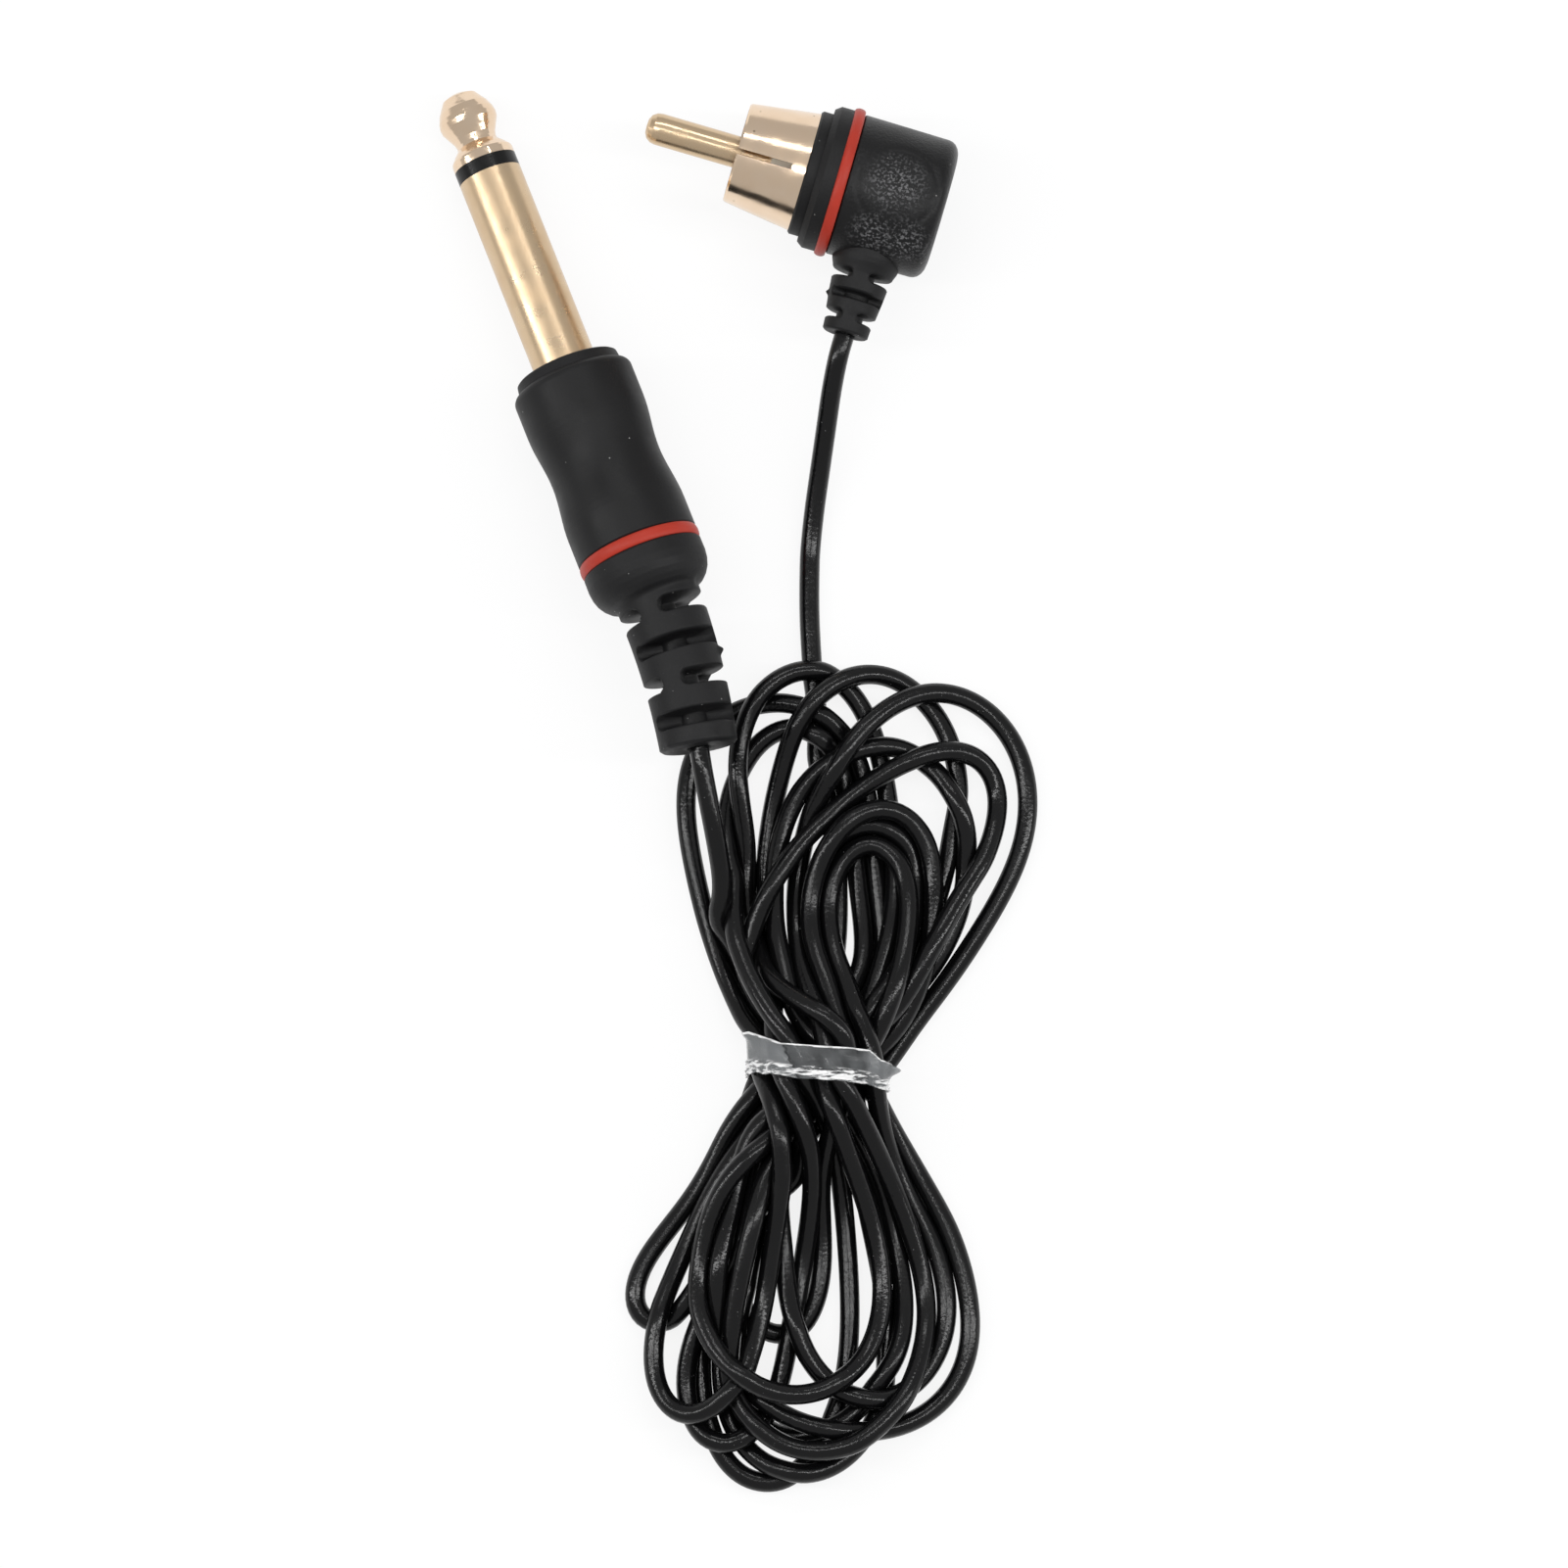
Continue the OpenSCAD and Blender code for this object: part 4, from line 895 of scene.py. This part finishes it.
class CABLE_OT_tape(bpy.types.Operator):
    """Winds the band of clear tape round the waist, smooth above and crumpled below"""
    bl_idname = "cable.tape"
    bl_label = "Tape"

    def execute(self, context):
        sizes = context.scene.cable_sizes
        cord = bpy.data.objects["cord"]
        line = np.array([p.co[:3] for p in cord.data.splines[0].points]) / MM
        middle = Vector(TAPE_MIDDLE)
        slices = np.arange(-69.0, -59.9, 0.5)
        outlines = [waist_outline(line, y, sizes.cord_d / MM / 2 + 0.1) for y in slices]
        reaches = {}
        bm = bmesh.new()
        bmesh.ops.create_grid(bm, x_segments=TAPE_AROUND, y_segments=TAPE_ROWS, size=0.5)
        haze, fold_and_edge_highlight = (bm.verts.layers.float.new(name) for name in ("haze", "fold_and_edge_highlight"))
        for vert in bm.verts:
            turn = round((vert.co.x + 0.5) * TAPE_AROUND) % TAPE_AROUND
            share = vert.co.y + 0.5
            angle = 2 * math.pi * turn / TAPE_AROUND
            way = Vector((math.cos(angle), math.sin(angle)))
            if turn not in reaches:
                reaches[turn] = [reach_to(outline, middle, way) for outline in outlines]
            # The place along the waist and the reach there depend on each other
            y = WAIST_Y
            for _ in range(3):
                reach = float(np.interp(y, slices, reaches[turn]))
                x = middle.x + reach * way.x
                top, low = (np.interp(x, *edge) for edge in (TAPE_TOP, TAPE_LOW))
                y = low + (top - low) * share
            crumple = min(1.0, max(0.0, (BUNCHED_BELOW - share) / 0.08))
            rough = noise.noise(Vector((way.x * 2.2, way.y * 2.2, share * 14)))
            ridge = 0.5 + 0.5 * math.sin(share * 44 + 5 * rough)
            reach += 0.03 + crumple * (0.08 + 0.3 * ridge * abs(rough) + 0.12 * ridge)
            off = (angle + math.pi) % (2 * math.pi) - math.pi
            flare = bump(off, FLARE_ANGLE, 0.16) * bump(share, FLARE_SHARE, 0.2)
            reach += FLARE_H * flare
            x, z = middle + reach * way
            y += 0.22 * crumple * noise.noise(Vector((way.x * 4, way.y * 4, 3)))
            vert[haze] = film_haze(x, share, flare)
            # 2 marks the cut edge, whose highlight the tape's finish paints white
            vert[fold_and_edge_highlight] = 2.0 if share > EDGE_ABOVE else crumple
            vert.co = Vector((x, y, max(z, 0.12))) * MM
        bmesh.ops.remove_doubles(bm, verts=bm.verts, dist=1e-6)
        band = add_piece("hank_tape_band", mesh_from(bm, "hank_tape_band"),
                         clear_tape(context.scene.cable_colours))
        wall = band.modifiers.new("tape thickness", "SOLIDIFY")
        wall.thickness, wall.offset = sizes.tape_t, 1
        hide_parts("hank_tape")
        return {"FINISHED"}


class CABLE_OT_strain_reliefs(bpy.types.Operator):
    """Moulds the boot with its slotted strain relief, and the smaller one on the side"""
    bl_idname = "cable.strain_reliefs"
    bl_label = "Strain reliefs"

    def execute(self, context):
        vinyl = matt_vinyl(context.scene.cable_colours)
        root = Vector(JACK_TIP) + JACK_ROOT_AT * Vector(JACK_WAY)
        axis = bent_axis(root, JACK_WAY, JACK_EXIT_DIR, JACK_RELIEF_L)
        boot = slotted_sleeve("boot_and_strain_relief", BOOT_PROFILE, BOOT_SLOTS, BOOT_SLOT_HALF,
                              BOOT_LUMPS, axis, vinyl)
        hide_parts("jack_boot")
        base = Vector(SIDE_EXIT) - SIDE_RELIEF_L * Vector(SIDE_EXIT_DIR)
        axis = bent_axis(base, SIDE_EXIT_DIR, SIDE_EXIT_DIR, SIDE_RELIEF_L)
        side = slotted_sleeve("side_strain_relief", SIDE_PROFILE, SIDE_SLOTS, SIDE_SLOT_HALF,
                              SIDE_LUMPS, axis, vinyl)
        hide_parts("phono_relief")
        return {"FINISHED"}


class CABLE_OT_plugs(bpy.types.Operator):
    """Gives both plugs' contacts, grips, rings and mouldings their finishes"""
    bl_idname = "cable.plugs"
    bl_label = "Plugs"

    def execute(self, context):
        colours = context.scene.cable_colours
        for node, name, base, roughness, wave_mm, wave_depth_mm, pit_share in (
                ("jack_tip", "gold_flash_on_crinkled_brass", colours.pale, 0.14, 0.9, 0.035, 0.02),
                ("jack_sleeve", "gold_flash_on_turned_brass", colours.gold, 0.3, 2.5, 0.01, 0.01),
                ("phono_pin", "gold_flash_on_rolled_brass", colours.gold, 0.26, 1.6, 0.015, 0.03),
                ("phono_shell", "gold_flash_on_pressed_brass", colours.pale, 0.17, 1.3, 0.02,
                 0.09)):
            dress(gold_plate(name, base, roughness, wave_mm, wave_depth_mm, pit_share), node)
        dress(gloss_nylon(), "jack_insulator")
        dress(soft_touch(colours), "jack_grip")
        dress(bpy.data.materials["matt_moulded_vinyl"], "jack_inner_mould", "phono_inner_mould")
        dress(red_vinyl(colours), "jack_ring", "phono_ring")
        return {"FINISHED"}


class CABLE_OT_right_angle_body(bpy.types.Operator):
    """Moulds the phono plug's round body, with its shallow dish and its grained skin"""
    bl_idname = "cable.right_angle_body"
    bl_label = "Right-angle body"

    def execute(self, context):
        axis = bent_axis(PHONO_TIP, PHONO_WAY, PHONO_WAY, 1)

        def dished(place, along, radius):
            if abs(place) > math.pi / 2 or radius < BODY_SKIN_R:
                return radius
            off = math.hypot(radius * math.sin(place), along - DISH_AT)
            dish = DISH_DEPTH * max(0.0, 1 - (off / DISH_R) ** 2)
            return radius - RIM_DEPTH * bump(off, DISH_R, RIM_W) - dish

        bm = turned(BODY_PROFILE, BODY_FACES, BODY_FINE_R, axis, dished)
        body = add_piece("right_angle_body", mesh_from(bm, "right_angle_body"),
                         sparked_body(context.scene.cable_colours))
        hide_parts("phono_body")
        return {"FINISHED"}


class CABLE_OT_inner_parts(bpy.types.Operator):
    """Gives the lugs, wires, solder and insulators inside the mouldings their finishes"""
    bl_idname = "cable.inner_parts"
    bl_label = "Inner parts"

    def execute(self, context):
        for name, hex_colour, roughness, metallic, grain_mm, depth_mm, nodes in (
                ("stamped_brass", "#B9974B", 0.34, 1.0, 0.3, 0.01,
                 ("jack_sleeve_lug", "jack_tip_lug", "phono_ground_lug")),
                ("vulcanised_fibre", "#7A3B22", 0.6, 0.0, 0.3, 0.01, ("jack_washer",)),
                ("natural_nylon", "#E4E0D2", 0.4, 0.0, 0.3, 0.01, ("phono_insulator",)),
                ("extruded_polyethylene", "#E6E4DE", 0.35, 0.0, 0.3, 0.01,
                 ("jack_core_wire", "phono_core_wire")),
                ("tinned_copper_strands", "#C4C6C8", 0.32, 1.0, 0.12, 0.03,
                 ("jack_screen_tail", "phono_screen_tail")),
                ("soft_solder", "#C2C4C4", 0.28, 1.0, 0.5, 0.02, ("jack_solder", "phono_solder"))):
            dress(plain_grained(name, hex_colour, roughness, metallic, grain_mm, depth_mm), *nodes)
        dress(bpy.data.materials["extruded_gloss_vinyl"], "jack_jacket_end", "phono_jacket_end")
        return {"FINISHED"}


class CABLE_OT_stage(bpy.types.Operator):
    """Lays the pale floor and hangs the soft lamps"""
    bl_idname = "cable.stage"
    bl_label = "Stage"

    def execute(self, context):
        scene = context.scene
        studio = scene.cable_studio
        bm = bmesh.new()
        bmesh.ops.create_grid(bm, x_segments=1, y_segments=1, size=1.5)
        floor = bpy.data.objects.new("floor", mesh_from(bm, "floor", smooth=False))
        floor.data.materials.append(pale_floor(scene.cable_colours))
        scene.collection.objects.link(floor)
        target = Vector(LOOK_AT) * MM
        for name, place, width, long, power in (
                ("strip_left", (-0.42, -0.02, 0.62), studio.strip_w, STRIP_L, studio.strip_power),
                ("strip_right", (0.45, -0.05, 0.6), studio.strip_w, STRIP_L, studio.strip_power),
                ("strip_back", (0.0, 0.55, 0.75), 0.6, studio.strip_w, 0.5 * studio.strip_power)):
            lamp = bpy.data.lights.new(name, "AREA")
            lamp.shape = "RECTANGLE"
            lamp.size, lamp.size_y = width, long
            lamp.energy = power
            hung = bpy.data.objects.new(name, lamp)
            hung.location = place
            hung.rotation_euler = (target - Vector(place)).to_track_quat("-Z", "Y").to_euler()
            scene.collection.objects.link(hung)
        world = bpy.data.worlds.new("studio")
        world.use_nodes = True
        world.node_tree.nodes["Background"].inputs["Color"].default_value = (1, 1, 1, 1)
        world.node_tree.nodes["Background"].inputs["Strength"].default_value = studio.sky
        scene.world = world
        scene.view_settings.view_transform = "Standard"
        return {"FINISHED"}


class CABLE_PT_panel(bpy.types.Panel):
    """Lists the operators in the order in which they are used"""
    bl_idname = "CABLE_PT_panel"
    bl_label = "Instrument cable"
    bl_space_type = "VIEW_3D"
    bl_region_type = "UI"
    bl_category = "Cable"

    def draw(self, context):
        for operator in OPERATORS:
            self.layout.operator(operator.bl_idname)
        for group in (context.scene.cable_sizes, context.scene.cable_colours,
                      context.scene.cable_studio):
            box = self.layout.box()
            for name in group.__annotations__:
                box.prop(group, name)


OPERATORS = (CABLE_OT_camera, CABLE_OT_cord, CABLE_OT_tape, CABLE_OT_strain_reliefs,
             CABLE_OT_plugs, CABLE_OT_right_angle_body, CABLE_OT_inner_parts, CABLE_OT_stage)
GROUPS = (("cable_sizes", CableSizes), ("cable_colours", CableColours),
          ("cable_studio", CableStudio))


def register():
    for name, group in GROUPS:
        bpy.utils.register_class(group)
        setattr(bpy.types.Scene, name, PointerProperty(type=group))
    for operator in OPERATORS:
        bpy.utils.register_class(operator)
    bpy.utils.register_class(CABLE_PT_panel)


def unregister():
    bpy.utils.unregister_class(CABLE_PT_panel)
    for operator in reversed(OPERATORS):
        bpy.utils.unregister_class(operator)
    for name, group in reversed(GROUPS):
        delattr(bpy.types.Scene, name)
        bpy.utils.unregister_class(group)


def main():
    """Makes the whole cable."""
    register()
    for operator in OPERATORS:
        group, name = operator.bl_idname.split(".")
        getattr(getattr(bpy.ops, group), name)()


if __name__ == "__main__":
    main()
